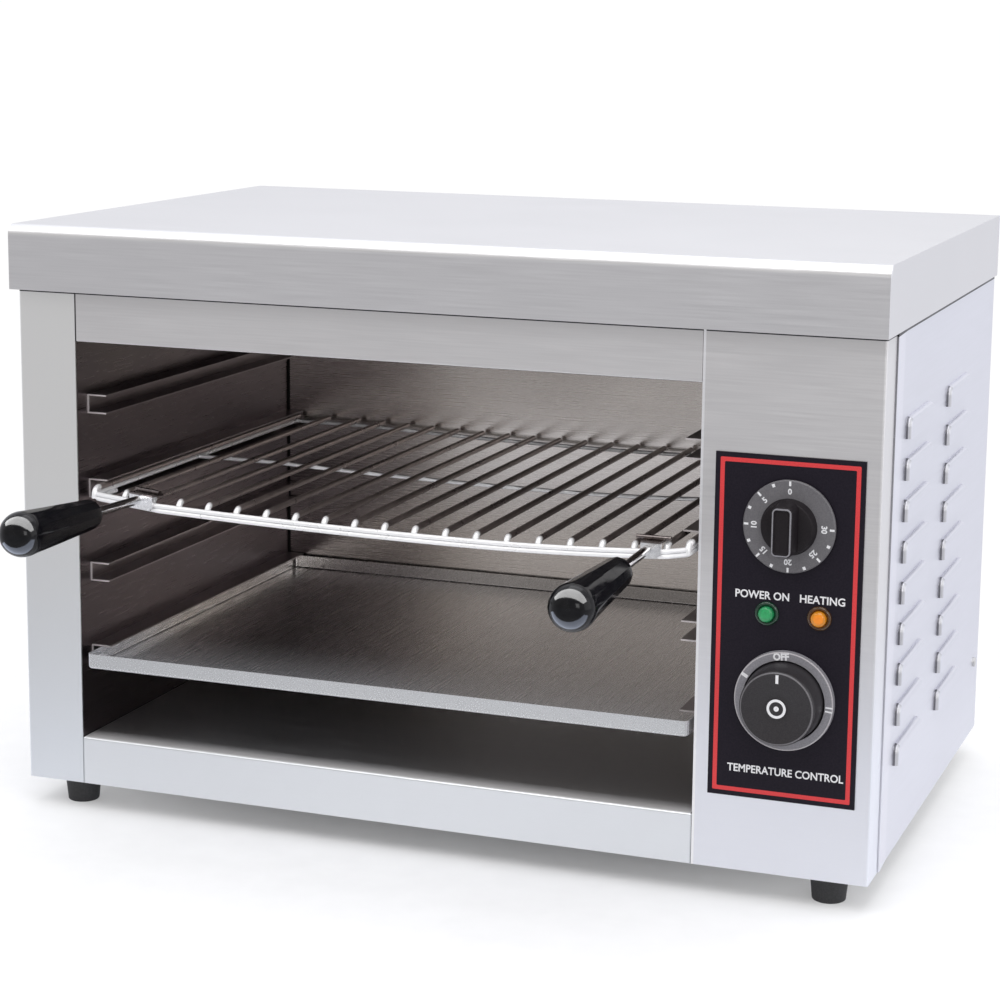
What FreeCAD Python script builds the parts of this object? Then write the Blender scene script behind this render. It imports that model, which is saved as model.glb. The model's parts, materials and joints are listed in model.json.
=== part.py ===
import FreeCAD, Part
import math
import os
import Sketcher
from FreeCAD import Placement, Rotation, Vector

# Countertop electric grill: a folded stainless case with an open cooking cavity on the left,
# a control bay on the right, runner rails at several levels, a wire rack and a drip tray.
# Case frame used below: x from the left side of the case, y from its front plane to the rear,
# z from the underside of the case. The model frame has its origin under the middle of the
# overall box, on the surface that the feet stand on.

doc = FreeCAD.newDocument("countertop_grill")
sheet = doc.addObject("Spreadsheet::Sheet", "Dims")

# Driving dimensions, in millimetres unless the note says otherwise
SIZES = [
    ("body_width", 610, "case over both side panels"),
    ("body_depth", 387, "case from front plane to rear panel"),
    ("case_height", 397, "top of the lid above the underside of the case"),
    ("sheet_gauge", 1.2, "outer stainless sheet"),
    ("liner_gauge", 1.0, "inner sheet of the cavity"),
    ("seam_gap", 0.3, "open line between two panels that meet"),
    ("panel_bend", 1.8, "outside radius of the vertical folds"),
    ("fascia_bend", 1.2, "outside radius of the fascia's lower fold"),
    ("post_width", 44, "front face of the left post"),
    ("bay_width", 117, "control bay, at the right of the cavity"),
    ("sill_height", 34, "front sill, level with the cavity floor"),
    ("fascia_height", 78.4, "upper fascia, mouth of the cavity to its top edge"),
    ("rear_space", 45, "front of the inner back wall to the rear of the case"),
    ("reflector_rise", 33, "underside of the reflector above the mouth of the cavity"),
    ("fascia_return", 12, "folded lips of the upper fascia and control panel"),
    ("control_wrap", 28, "control panel folded round the right corner"),
    ("lid_skirt", 45, "height of the lid's folded skirt"),
    ("lid_overhang_side", 2, "lid beyond each side panel"),
    ("lid_overhang_front", 8.8, "lid beyond the front plane"),
    ("lid_clearance", 0.4, "air between the panels and the lid's underside"),
    ("lid_bend_radius", 7, "outside radius of the lid's front bend"),
    ("louvre_rise", 4, "louvre hood proud of the right side"),
    ("louvre_length", 78, "louvre hood along the depth"),
    ("louvre_height", 14, "louvre hood"),
    ("louvre_corner", 6, "rounding of a hood's upper corners"),
    ("louvre_columns", 2, "columns of hoods, a count"),
    ("louvre_sheet", 0.9, "wall of a drawn hood"),
    ("louvre_softness", 0.8, "rounding of a hood's face as a share of its rise"),
    ("louvre_rows", 9, "hoods in one column, a count"),
    ("louvre_pitch", 27.2, "hood to hood, downwards"),
    ("louvre_lowest", 61, "open lower edge of the lowest hood"),
    ("louvre_first", 66, "front end of the first column, from the front plane"),
    ("louvre_column_pitch", 140, "first column to second column"),
    ("rail_setback", 15, "front ends of the runner rails behind the front plane"),
    ("rail_end_gap", 2, "rear ends of the rails to the inner back wall"),
    ("rail_headroom", 0.8, "air above the rack inside its rails"),
    ("rail_flange", 14.5, "runner rail, web face to flange edge"),
    ("rail_gauge", 1.0, "sheet of the runner rails"),
    ("rail_lowest", 84.7, "underside of the lowest rails"),
    ("rail_levels", 4, "pairs of rails, a count"),
    ("rail_top_gap", 38.8, "top of the highest rails to the top of the mouth"),
    ("rack_rails", 3, "pair of rails that carries the rack, a count from below"),
    ("slide_gap", 0.3, "air under the tray and the rack in their rails"),
    ("tray_headroom", 0.4, "air above the tray inside its rails"),
    ("tray_gauge", 1.0, "sheet of the drip tray"),
    ("tray_stickout", 5, "front of the tray proud of the front plane"),
    ("tray_rear_gap", 4, "tray to the inner back wall"),
    ("tray_left_gap", 6, "tray to the web of the left rail"),
    ("tray_right_gap", 1.5, "tray to the web of the right rail"),
    ("tray_corner", 4, "outside radius of the tray's upright corners"),
    ("tray_bend", 2, "outside radius of the tray's bottom bend"),
    ("frame_wire", 3.2, "diameter of the rack's frame wires"),
    ("rack_rod", 4.2, "diameter of the rack's rods"),
    ("weld_depth", 0.3, "how deep crossing wires melt together"),
    ("wire_gap", 0.1, "air between the lower and the upper front wire"),
    ("rack_stickout", 20, "front wires of the rack ahead of the front plane"),
    ("rack_rear_gap", 10, "back wire of the rack to the inner back wall"),
    ("rack_middle", 158, "middle cross wire behind the front plane"),
    ("rack_left_gap", 11.2, "left frame wire to the web of the left rail"),
    ("rack_right_gap", 3, "right frame wire to the web of the right rail"),
    ("rack_left_corner", 61.4, "slanted left front corner, across the width"),
    ("rack_left_slant", 21.4, "slanted left front corner, front to rear"),
    ("rack_right_corner", 11.4, "slanted right front corner, across the width"),
    ("rack_right_slant", 11, "slanted right front corner, front to rear"),
    ("rack_corner_bend", 8, "centreline radius of the frame wires' corners"),
    ("rack_lower_tail", 30, "lower front wire behind its slanted corners"),
    ("cross_wire", 3.0, "diameter of the middle and back cross wires"),
    ("cross_wire_bend", 100, "centreline radius where a cross wire starts to dip"),
    ("rack_sag", 4.5, "dip of the rack's cross wires"),
    ("rack_straight", 20, "straight stretch of a cross wire before it dips"),
    ("rack_low_spot", 288.8, "lowest point of the rack from the left frame wire"),
    ("rod_count", 18, "evenly spaced rods, a count"),
    ("rod_first", 53.5, "first even rod from the left frame wire"),
    ("rod_last", 12.1, "last even rod from the right frame wire"),
    ("corner_rod", 27, "rod at the left slanted corner, from the left frame wire"),
    ("rod_bend", 4.5, "centreline radius of a rod's bent front end"),
    ("rod_tail", 4, "rods beyond the back wire"),
    ("hook_gauge", 1.5, "sheet of the handle hooks"),
    ("left_hook_edge", 7, "left hook plate, left of its shank"),
    ("right_hook_edge", 4, "right hook plate, left of its shank"),
    ("left_hook_width", 22.8, "left hook plate"),
    ("right_hook_width", 13.5, "right hook plate"),
    ("hook_corner", 3, "cut corner of a hook plate"),
    ("hook_drop", 3.8, "hook plate below the upper front wire's centre"),
    ("hook_depth", 10, "top fold of the hook, back over the front wires"),
    ("hook_play", 0.1, "air between the hook and the wires"),
    ("cross_pin", 3, "diameter of the hook's cross pin"),
    ("pin_place", 4, "cross pin behind the centre of the front wires"),
    ("cross_pin_length", 23, "cross pin welded along the top fold"),
    ("shank_wire", 6, "diameter of the handle shanks"),
    ("shank_reach", 55.5, "hook plate to grip"),
    ("shank_socket", 18, "shank held inside the grip"),
    ("socket_depth", 19, "bore of the grip for its shank"),
    ("shank_play", 0.05, "radial clearance round the shank"),
    ("shank_stand", 0.2, "air at the slanted end of a shank, before its hook plate"),
    ("grip_length", 94.5, "grip over its domed end"),
    ("grip_small", 20.6, "grip diameter next to the shank"),
    ("grip_large", 29.6, "grip diameter at the free end"),
    ("grip_dome", 11, "rounding of the free end"),
    ("grip_heel", 2.5, "rounding next to the shank"),
    ("grip_shoulder", 14, "widest part of the grip from its free end"),
    ("left_handle_place", 43.8, "left shank from the left frame wire"),
    ("right_handle_inset", 23.4, "right shank from the right frame wire"),
    ("left_shank_rise", 2.5, "left shank above the upper front wire"),
    ("right_shank_rise", 1.3, "right shank above the upper front wire"),
    ("left_handle_tilt", 1.6, "left handle upwards, degrees"),
    ("right_handle_tilt", -2.7, "right handle upwards, degrees"),
    ("left_handle_splay", 2.0, "left handle towards the left, degrees"),
    ("right_handle_splay", 1.2, "right handle towards the left, degrees"),
    ("plate_height", 224.5, "control plate"),
    ("plate_left", 10.3, "control plate from the left edge of the control panel"),
    ("plate_right", 10.2, "control plate from the right edge of the control panel"),
    ("plate_bottom", 49.8, "control plate above the underside of the case"),
    ("plate_gauge", 0.8, "control plate"),
    ("knob_shift", 1.05, "knob axes right of the control plate's middle"),
    ("timer_rise", 180.2, "timer axis above the lower edge of the control plate"),
    ("thermostat_drop", 113, "thermostat axis below the timer axis"),
    ("lamp_drop", 57.6, "lamp axes below the timer axis"),
    ("green_lamp_left", 13.2, "green lamp left of the knob axes"),
    ("orange_lamp_right", 20.7, "orange lamp right of the knob axes"),
    ("spindle", 6, "diameter of both control spindles"),
    ("spindle_play", 0.05, "radial clearance round a spindle"),
    ("spindle_length", 34, "control spindle"),
    ("bushing", 9.6, "threaded neck of a control, diameter"),
    ("bushing_play", 0.3, "radial clearance of a neck in the sheet"),
    ("knob_gap", 0.5, "air between a knob and the control plate"),
    ("skirt_diameter", 59.6, "timer knob skirt"),
    ("skirt_thickness", 3, "timer knob skirt"),
    ("hub_diameter", 35.6, "round base of the timer knob's bar"),
    ("hub_height", 6, "round base of the timer knob's bar"),
    ("hub_taper", 1, "how much the round base draws in towards its top"),
    ("bar_width", 14.5, "timer knob's bar"),
    ("bar_length", 32.6, "timer knob's bar"),
    ("bar_corner", 3.4, "cut corners of the bar"),
    ("bar_height", 14, "timer knob's bar above its round base"),
    ("knob_rounding", 2.2, "edges of the timer knob's bar"),
    ("knob_socket", 14, "depth of a knob's bore"),
    ("spindle_grip", 13, "spindle inside its knob"),
    ("ring_outer", 65, "thermostat dial ring, outside diameter"),
    ("ring_gap", 0.8, "air between the thermostat knob's foot and its dial ring"),
    ("ring_height", 4, "thermostat dial ring"),
    ("ring_bevel", 1, "slanted outer edge of the dial ring"),
    ("cap_base", 52, "thermostat knob at its foot, diameter"),
    ("cap_face", 48.6, "thermostat knob at its face, diameter"),
    ("cap_height", 22, "thermostat knob"),
    ("cap_rounding", 1.2, "rim of the thermostat knob"),
    ("dish_diameter", 26, "shallow dish in the thermostat knob's face"),
    ("dish_depth", 1.6, "shallow dish"),
    ("boss_diameter", 12.6, "round boss in the dish"),
    ("dish_slope", 1.4, "flat floor of the dish round its boss"),
    ("boss_height", 1.1, "round boss in the dish"),
    ("boss_taper", 0.4, "how much the boss draws in towards its top"),
    ("lens_flange", 15.8, "lamp lens flange, diameter"),
    ("lens_flange_height", 2.2, "lamp lens flange"),
    ("lens_diameter", 11, "lamp lens, diameter"),
    ("lens_height", 5.6, "lamp lens above the plate"),
    ("lens_bevel", 0.8, "slanted edge of the lens flange"),
    ("lens_taper", 0.5, "how much a lens draws in towards its top"),
    ("lens_rounding", 1, "upper edge of a lens"),
    ("lens_neck", 9.6, "lamp lens neck in the panel, diameter"),
    ("lamp_body", 9.4, "lamp holder behind the panel, diameter"),
    ("lamp_body_length", 24, "lamp holder behind the panel"),
    ("timer_case_width", 44, "timer works behind the panel"),
    ("timer_case_depth", 34, "timer works behind the panel"),
    ("thermostat_case", 40, "thermostat housing behind the panel, diameter"),
    ("thermostat_case_depth", 30, "thermostat housing behind the panel"),
    ("heater_tube", 8, "diameter of the heating elements"),
    ("heater_drop", 16, "element centreline below the reflector"),
    ("heater_leg_spacing", 46, "leg to leg of one hairpin"),
    ("front_heater_place", 96, "first leg of the front hairpin behind the front plane"),
    ("rear_heater_place", 206, "first leg of the rear hairpin behind the front plane"),
    ("heater_end_gap", 26, "hairpin bend to the left wall"),
    ("heater_pass", 12, "element ends beyond the partition wall"),
    ("ferrule_diameter", 14, "element ferrule at the partition wall"),
    ("ferrule_thickness", 3, "element ferrule at the partition wall"),
    ("hanger_inset", 90, "element hangers from the cavity walls"),
    ("hanger_width", 12, "element hanger strap"),
    ("hanger_overrun", 14, "hanger strap beyond the outer element legs"),
    ("bulb_diameter", 6, "thermostat bulb"),
    ("bulb_length", 90, "thermostat bulb"),
    ("bulb_drop", 16, "thermostat bulb below the element centrelines"),
    ("bulb_place", 130, "front end of the bulb behind the front plane"),
    ("bulb_standoff", 7, "bulb axis off the partition wall"),
    ("bulb_nose", 12, "capillary ahead of the bulb before it turns to the wall"),
    ("clip_width", 8, "bulb clip"),
    ("clip_inset", 12, "bulb clips from the ends of the bulb"),
    ("capillary", 1.6, "diameter of the capillary tube"),
    ("capillary_bend", 5, "centreline radius of its bends"),
    ("capillary_bay", 24, "capillary's run down the control bay, from the partition"),
    ("capillary_step", 12, "end of that run above the thermostat axis"),
    ("capillary_slant", 40, "slanted run to the thermostat, front to rear"),
    ("capillary_side", 6, "capillary's end left of the thermostat axis"),
    ("block_length", 60, "terminal block, along the width"),
    ("block_depth", 24, "terminal block"),
    ("block_height", 20, "terminal block"),
    ("block_rear_gap", 33, "terminal block to the rear of the case"),
    ("block_ways", 5, "wire ways of the terminal block, a count"),
    ("block_way", 6, "diameter of a wire way"),
    ("wire_diameter", 2.6, "insulated wires in the control bay"),
    ("wire_bend", 8, "centreline radius of their bends"),
    ("wire_run_high", 55, "wires behind the front plane where they run up the bay"),
    ("wire_run_side", 18, "wires that run to the rear, from the right side of the case"),
    ("wire_lane", 7, "wire to wire where two run side by side"),
    ("wire_stretch", 18, "straight run between two bends of a wire, corner to corner"),
    ("gland_place", 60, "cable gland from the right side of the case"),
    ("gland_height", 45, "cable gland above the underside of the case"),
    ("gland_body", 16, "gland neck through the rear panel, diameter"),
    ("gland_flange", 24, "gland collar outside, diameter"),
    ("gland_bore", 9.2, "gland bore for the supply cord, diameter"),
    ("gland_reach", 20, "gland beyond the rear panel"),
    ("gland_nose", 18, "gland at its outer end, diameter"),
    ("gland_collar", 8, "gland collar outside the rear panel"),
    ("gland_inside", 12, "gland neck inside the rear panel"),
    ("gland_nut", 22, "gland nut, diameter"),
    ("gland_nut_height", 5, "gland nut"),
    ("gland_play", 0.05, "radial clearance of the gland neck"),
    ("foot_height", 20, "rubber feet"),
    ("foot_top", 26, "foot diameter at the case"),
    ("foot_bottom", 22, "foot diameter on the surface"),
    ("foot_rounding", 1.2, "lower edge of a foot"),
    ("foot_inset_x", 30, "foot axes from the sides"),
    ("foot_inset_y", 24, "foot axes from the front plane and the rear"),
    ("foot_stud", 6, "diameter of the stud moulded into a foot"),
    ("foot_stud_depth", 12, "stud inside the rubber"),
    ("foot_stud_rise", 8, "stud above the case floor's underside"),
    ("foot_nut", 10, "foot nut across flats"),
    ("foot_nut_height", 4, "foot nut"),
    ("screw_thread", 3.8, "diameter of the case screws"),
    ("screw_head", 7.2, "diameter of their pan heads"),
    ("screw_head_height", 1.8, "pan heads"),
    ("screw_length", 8, "case screws under the head"),
    ("screw_play", 0.1, "radial clearance of a case screw"),
    ("side_screw_inset", 20, "side screws from the rear"),
    ("side_screw_height", 56, "side screws above the underside of the case"),
    ("screw_inset", 40, "rear panel screws from the sides and the lower edge"),
    ("screw_top_inset", 80, "upper rear panel screws from the top edge"),
    ("vent_slots", 8, "slots in the rear panel, a count"),
    ("vent_width", 5, "slot in the rear panel"),
    ("vent_height", 60, "slot in the rear panel"),
    ("vent_pitch", 11, "slot to slot"),
    ("vent_low", 180, "lower end of the slots above the underside of the case"),
    ("vent_place", 12, "first slot from the right end of the rear panel"),
]

# Places that follow from the sizes above; each is an expression of the sheet and of earlier places
PLACES = [
    ("panel_top", "case_height - sheet_gauge - lid_clearance"),
    ("bay_left", "body_width - bay_width"),
    ("opening_width", "bay_left - post_width"),
    ("opening_top", "panel_top - fascia_height"),
    ("cavity_depth", "body_depth - rear_space"),
    ("reflector_height", "opening_top + reflector_rise"),
    ("inner_width", "body_width - 2 * sheet_gauge"),
    ("inner_depth", "body_depth - 2 * sheet_gauge"),
    ("back_plane", "body_depth - sheet_gauge"),
    ("liner_bottom", "sheet_gauge + seam_gap"),
    ("side_panel_front", "control_wrap + seam_gap"),
    ("rail_length", "cavity_depth - rail_setback - rail_end_gap"),
    ("rail_rear", "rail_setback + rail_length"),
    ("web_left", "post_width + rail_gauge"),
    ("web_right", "bay_left - rail_gauge"),
    ("rack_stack", "2 * frame_wire + wire_gap + rack_rod - weld_depth"),
    ("rail_height", "2 * rail_gauge + slide_gap + rack_stack + rail_headroom"),
    ("rail_pitch", "(opening_top - rail_top_gap - rail_height - rail_lowest) / (rail_levels - 1)"),
    ("tray_floor", "rail_lowest + rail_gauge + slide_gap"),
    ("tray_width", "web_right - tray_right_gap - web_left - tray_left_gap"),
    ("tray_depth", "cavity_depth - tray_rear_gap + tray_stickout"),
    ("tray_height", "rail_height - 2 * rail_gauge - slide_gap - tray_headroom"),
    ("rack_level", "rail_lowest + (rack_rails - 1) * rail_pitch + rail_gauge + slide_gap"),
    ("rack_left", "web_left + rack_left_gap"),
    ("rack_width", "web_right - rack_right_gap - rack_left"),
    ("rack_back", "cavity_depth - rack_rear_gap"),
    ("rod_pitch", "(rack_width - rod_first - rod_last) / (rod_count - 1)"),
    ("right_handle_place", "rack_width - right_handle_inset"),
    ("lower_wire", "rack_level + frame_wire / 2"),
    ("upper_wire", "lower_wire + frame_wire + wire_gap"),
    ("rod_line", "upper_wire + frame_wire / 2 + rack_rod / 2 - weld_depth"),
    ("hook_face", "0 - rack_stickout - frame_wire / 2 - hook_play"),
    ("shank_start", "hook_face - hook_gauge - shank_stand"),
    ("grip_reach", "shank_reach + grip_length"),
    ("front_reach", "grip_reach - shank_start"),
    ("rear_reach", "body_depth + gland_reach"),
    ("middle_x", "(body_width + louvre_rise - lid_overhang_side) / 2"),
    ("middle_y", "(rear_reach - front_reach) / 2"),
    ("plate_width", "bay_width - plate_left - plate_right"),
    ("knob_axis", "plate_left + plate_width / 2 + knob_shift"),
    ("timer_height", "plate_bottom + timer_rise"),
    ("thermostat_height", "timer_height - thermostat_drop"),
    ("lamp_height", "timer_height - lamp_drop"),
    ("green_lamp_place", "knob_axis - green_lamp_left"),
    ("orange_lamp_place", "knob_axis + orange_lamp_right"),
    ("ring_inner", "cap_base + 2 * ring_gap"),
    ("knob_x", "bay_left + knob_axis"),
    ("knob_y", "0 - plate_gauge - knob_gap"),
    ("gland_x", "body_width - gland_place"),
    ("foot_right", "body_width - foot_inset_x"),
    ("foot_rear", "body_depth - foot_inset_y"),
    ("heater_height", "reflector_height - heater_drop"),
    ("heater_rest", "heater_height - heater_tube / 2"),
    ("bulb_height", "heater_height - bulb_drop"),
    ("capillary_front", "bulb_place - bulb_nose"),
    ("block_place", "body_depth - block_rear_gap - block_depth"),
]

for row, (alias, value, note) in enumerate(SIZES, start=1):
    cell = "A%d" % row
    sheet.set(cell, str(value))
    sheet.setAlias(cell, alias)
    sheet.set("B%d" % row, note)
doc.recompute()
places = doc.addObject("App::VarSet", "Places")
SIZE_NAMES = {alias for alias, value, note in SIZES}
PLACE_NAMES = {name for name, text in PLACES}


def formula(text):
    """Turn plain size and place names into references to the sheet and the place list."""
    words = []
    word = ""
    for letter in text + " ":
        if letter.isalnum() or letter == "_":
            word += letter
            continue
        if word in SIZE_NAMES:
            word = "Dims." + word
        elif word in PLACE_NAMES:
            word = "Places." + word
        words.append(word + letter)
        word = ""
    return "".join(words).strip()


for name, text in PLACES:
    places.addProperty("App::PropertyFloat", name, "Places")
    places.setExpression(name, formula(text).replace("Places.", ""))
doc.recompute()


def size(name):
    """A driving dimension or a derived place as a number."""
    if name in SIZE_NAMES:
        return float(sheet.get(name))
    return float(getattr(places, name))


# How a sub-part's own axes lie in the case: local x, y, z
UPRIGHT = Rotation()
FACING_FRONT = Rotation(Vector(1, 0, 0), 90)
ALONG_WIDTH = Rotation(Vector(1, 1, 1), 120)
FACING_REAR = Rotation(Vector(0, 1, 1), 180)
FACING_RIGHT = Rotation(Vector(0, 1, 0), 90)
FACING_LEFT = Rotation(Vector(0, 1, 0), -90)

NODES = []


def place(item, x="0", y="0", z="0", turn=UPRIGHT):
    """Set a sub-part into the case frame and list it as a node."""
    item.Placement = Placement(Vector(), turn)
    item.setExpression("Placement.Base.x", formula("%s - middle_x" % x))
    item.setExpression("Placement.Base.y", formula("%s - middle_y" % y))
    item.setExpression("Placement.Base.z", formula("%s + foot_height" % z))
    NODES.append(item)
    return item


def new_body(label):
    body = doc.addObject("PartDesign::Body", label)
    body.Label = label
    return body


def new_sketch(body, role="XY_Plane"):
    """A sketch on one of the body's own origin planes."""
    sketch = body.newObject("Sketcher::SketchObject", body.Label + "_sketch")
    for plane in body.Origin.OriginFeatures:
        if plane.Role == role:
            sketch.AttachmentSupport = [(plane, "")]
    sketch.MapMode = "FlatFace"
    return sketch


def draw_outline(sketch, corners):
    """Closed chain of lines; each corner is held from the sketch origin by two bound distances."""
    first = sketch.GeometryCount
    count = len(corners)
    ring = [Vector(50 * math.cos(2 * math.pi * i / count), 50 * math.sin(2 * math.pi * i / count), 0)
            for i in range(count)]
    for i in range(count):
        sketch.addGeometry(Part.LineSegment(ring[i], ring[(i + 1) % count]), False)
    joints = [Sketcher.Constraint("Coincident", first + i, 2, first + (i + 1) % count, 1)
              for i in range(count)]
    sketch.addConstraint(joints)
    for i, (across, up) in enumerate(corners):
        for kind, text in (("DistanceX", across), ("DistanceY", up)):
            start = ring[i].x if kind == "DistanceX" else ring[i].y
            index = sketch.addConstraint(Sketcher.Constraint(kind, -1, 1, first + i, 1, start))
            sketch.setExpression("Constraints[%d]" % index, formula(text))


def draw_rectangle(sketch, left, bottom, right, top):
    draw_outline(sketch, [(left, bottom), (right, bottom), (right, top), (left, top)])


def draw_circle(sketch, across, up, diameter):
    """A circle whose centre and radius are bound."""
    index = sketch.addGeometry(Part.Circle(Vector(5, 5, 0), Vector(0, 0, 1), 2), False)
    for kind, text in (("DistanceX", across), ("DistanceY", up)):
        number = sketch.addConstraint(Sketcher.Constraint(kind, -1, 1, index, 3, 5.0))
        sketch.setExpression("Constraints[%d]" % number, formula(text))
    number = sketch.addConstraint(Sketcher.Constraint("Radius", index, 2.0))
    sketch.setExpression("Constraints[%d]" % number, formula("(%s) / 2" % diameter))


def pad(body, sketch, length):
    feature = body.newObject("PartDesign::Pad", body.Label + "_pad")
    feature.Profile = sketch
    feature.setExpression("Length", formula(length))
    body.Tip = feature
    return feature


def pocket(body, sketch, depth=None, upwards=False):
    """Cut the sketch: right through the body both ways, or to a depth down or up from its plane."""
    feature = body.newObject("PartDesign::Pocket", body.Label + "_pocket")
    feature.Profile = sketch
    if depth is None:
        feature.Type = "ThroughAll"
        feature.SideType = "Symmetric"
    else:
        feature.setExpression("Length", formula(depth))
        feature.Reversed = upwards
    body.Tip = feature
    return feature


def revolve(body, corners):
    """Turn an outline of radius and height about the body's own z axis."""
    sketch = new_sketch(body, "XZ_Plane")
    draw_outline(sketch, corners)
    feature = body.newObject("PartDesign::Revolution", body.Label + "_turned")
    feature.Profile = sketch
    feature.ReferenceAxis = (sketch, ["V_Axis"])
    feature.Angle = 360
    body.Tip = feature
    return feature


def round_edges(body, radius, choose):
    """Round the edges of the body that the test picks."""
    doc.recompute()
    base = body.Tip
    names = ["Edge%d" % (i + 1) for i, edge in enumerate(base.Shape.Edges) if choose(edge)]
    if not names:
        raise ValueError("no edge to round on " + body.Label)
    feature = body.newObject("PartDesign::Fillet", body.Label + "_round")
    feature.Base = (base, names)
    feature.setExpression("Radius", formula(radius))
    body.Tip = feature
    return feature


def lies(edge, x=None, y=None, z=None):
    """Whether all of an edge lies at the given coordinates."""
    box = edge.BoundBox
    spans = ((x, box.XMin, box.XMax), (y, box.YMin, box.YMax), (z, box.ZMin, box.ZMax))
    return all(at is None or (abs(low - at) < 0.01 and abs(high - at) < 0.01) for at, low, high in spans)


def box_item(label, length, width, height):
    item = doc.addObject("Part::Box", label)
    item.Label = label
    item.setExpression("Length", formula(length))
    item.setExpression("Width", formula(width))
    item.setExpression("Height", formula(height))
    return item


def cylinder_item(label, diameter, height):
    item = doc.addObject("Part::Cylinder", label)
    item.Label = label
    item.setExpression("Radius", formula("(%s) / 2" % diameter))
    item.setExpression("Height", formula(height))
    return item


def shift(item, x="0", y="0", z="0", turn=UPRIGHT):
    """Place a raw shape inside its sub-part, before it is joined or cut."""
    item.Placement = Placement(Vector(), turn)
    item.setExpression("Placement.Base.x", formula(x))
    item.setExpression("Placement.Base.y", formula(y))
    item.setExpression("Placement.Base.z", formula(z))
    return item


def joined(label, shapes):
    item = doc.addObject("Part::MultiFuse", label)
    item.Label = label
    item.Shapes = shapes
    return item


def without(label, base, tools):
    """The base with every tool cut out of it."""
    tool = tools[0]
    if len(tools) > 1:
        tool = joined(label + "_tools", tools)
    item = doc.addObject("Part::Cut", label)
    item.Label = label
    item.Base = base
    item.Tool = tool
    return item


def free_shape(label, shape):
    """A sub-part whose shape is worked out by the functions below from the sheet's sizes."""
    item = doc.addObject("Part::Feature", label)
    item.Label = label
    item.Shape = shape
    return item


# Left side panel: the side, folded round the corner into the front face of the left post
left_panel = new_body("left_side_panel")
outline = new_sketch(left_panel)
draw_outline(outline, [
    ("0", "0"), ("post_width - seam_gap / 2", "0"), ("post_width - seam_gap / 2", "sheet_gauge"),
    ("sheet_gauge", "sheet_gauge"), ("sheet_gauge", "body_depth"), ("0", "body_depth")])
pad(left_panel, outline, "panel_top")
round_edges(left_panel, "panel_bend", lambda edge: lies(edge, x=0, y=0))
hole = new_sketch(left_panel, "YZ_Plane")
draw_circle(hole, "body_depth - side_screw_inset", "side_screw_height", "screw_thread + 2 * screw_play")
pocket(left_panel, hole)
place(left_panel)

# Control panel: front face of the control bay, a lip at the cavity mouth, wrapped round the corner
control_panel = new_body("control_panel")
outline = new_sketch(control_panel)
draw_outline(outline, [
    ("seam_gap / 2", "0"), ("bay_width", "0"), ("bay_width", "control_wrap"),
    ("bay_width - sheet_gauge", "control_wrap"), ("bay_width - sheet_gauge", "sheet_gauge"),
    ("seam_gap / 2 + sheet_gauge", "sheet_gauge"), ("seam_gap / 2 + sheet_gauge", "fascia_return"),
    ("seam_gap / 2", "fascia_return")])
pad(control_panel, outline, "panel_top")
round_edges(control_panel, "panel_bend", lambda edge: lies(edge, x=size("bay_width"), y=0))
holes = new_sketch(control_panel, "XZ_Plane")
draw_circle(holes, "knob_axis", "timer_height", "bushing + 2 * bushing_play")
draw_circle(holes, "knob_axis", "thermostat_height", "bushing + 2 * bushing_play")
draw_circle(holes, "green_lamp_place", "lamp_height", "lens_neck + 2 * bushing_play")
draw_circle(holes, "orange_lamp_place", "lamp_height", "lens_neck + 2 * bushing_play")
pocket(control_panel, holes)
notch = new_sketch(control_panel)
draw_rectangle(notch, "0", "sheet_gauge", "sheet_gauge + seam_gap", "fascia_return + seam_gap")
pocket(control_panel, notch, "sheet_gauge", upwards=True)
place(control_panel, x="bay_left")


# Right side panel: plain sheet with two columns of drawn louvre hoods, each open at its lower edge
def hood(wall, open_end):
    """One hood, shrunk all round by a wall; its face stands out along x, its lower edge is at z 0."""
    rise = size("louvre_rise") - wall
    gauge = size("sheet_gauge")
    length = size("louvre_length") - 2 * wall
    height = size("louvre_height") - wall
    block = Part.makeBox(rise + gauge + open_end, length, height, Vector(-gauge - open_end, wall, 0))
    ends = [edge for edge in block.Edges if lies(edge, z=height) and edge.BoundBox.XLength > 1]
    block = block.makeFillet(size("louvre_corner") - wall, ends)
    rim = [edge for edge in block.Edges if lies(edge, x=rise) and not lies(edge, z=0)]
    return block.makeFillet(size("louvre_softness") * rise, rim)


def louvred_sheet():
    gauge = size("sheet_gauge")
    depth = size("body_depth") - size("side_panel_front")
    sheet_shape = Part.makeBox(gauge, depth, size("panel_top"), Vector(-gauge, 0, 0))
    hoods = []
    hollows = []
    for column in range(int(size("louvre_columns"))):
        for row in range(int(size("louvre_rows"))):
            along = size("louvre_first") + column * size("louvre_column_pitch") - size("side_panel_front")
            up = size("louvre_lowest") + row * size("louvre_pitch")
            at = Vector(0, along, up)
            hoods.append(hood(0, 0).translated(at))
            hollows.append(hood(size("louvre_sheet"), 1).translated(at))
    screw_hole = Part.makeCylinder(
        size("screw_thread") / 2 + size("screw_play"), 4 * gauge,
        Vector(-2 * gauge, depth - size("side_screw_inset"), size("side_screw_height")), Vector(1, 0, 0))
    return sheet_shape.fuse(hoods).cut(hollows + [screw_hole]).removeSplitter()


right_panel = free_shape("right_side_panel", louvred_sheet())
place(right_panel, x="body_width", y="side_panel_front")

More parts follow.
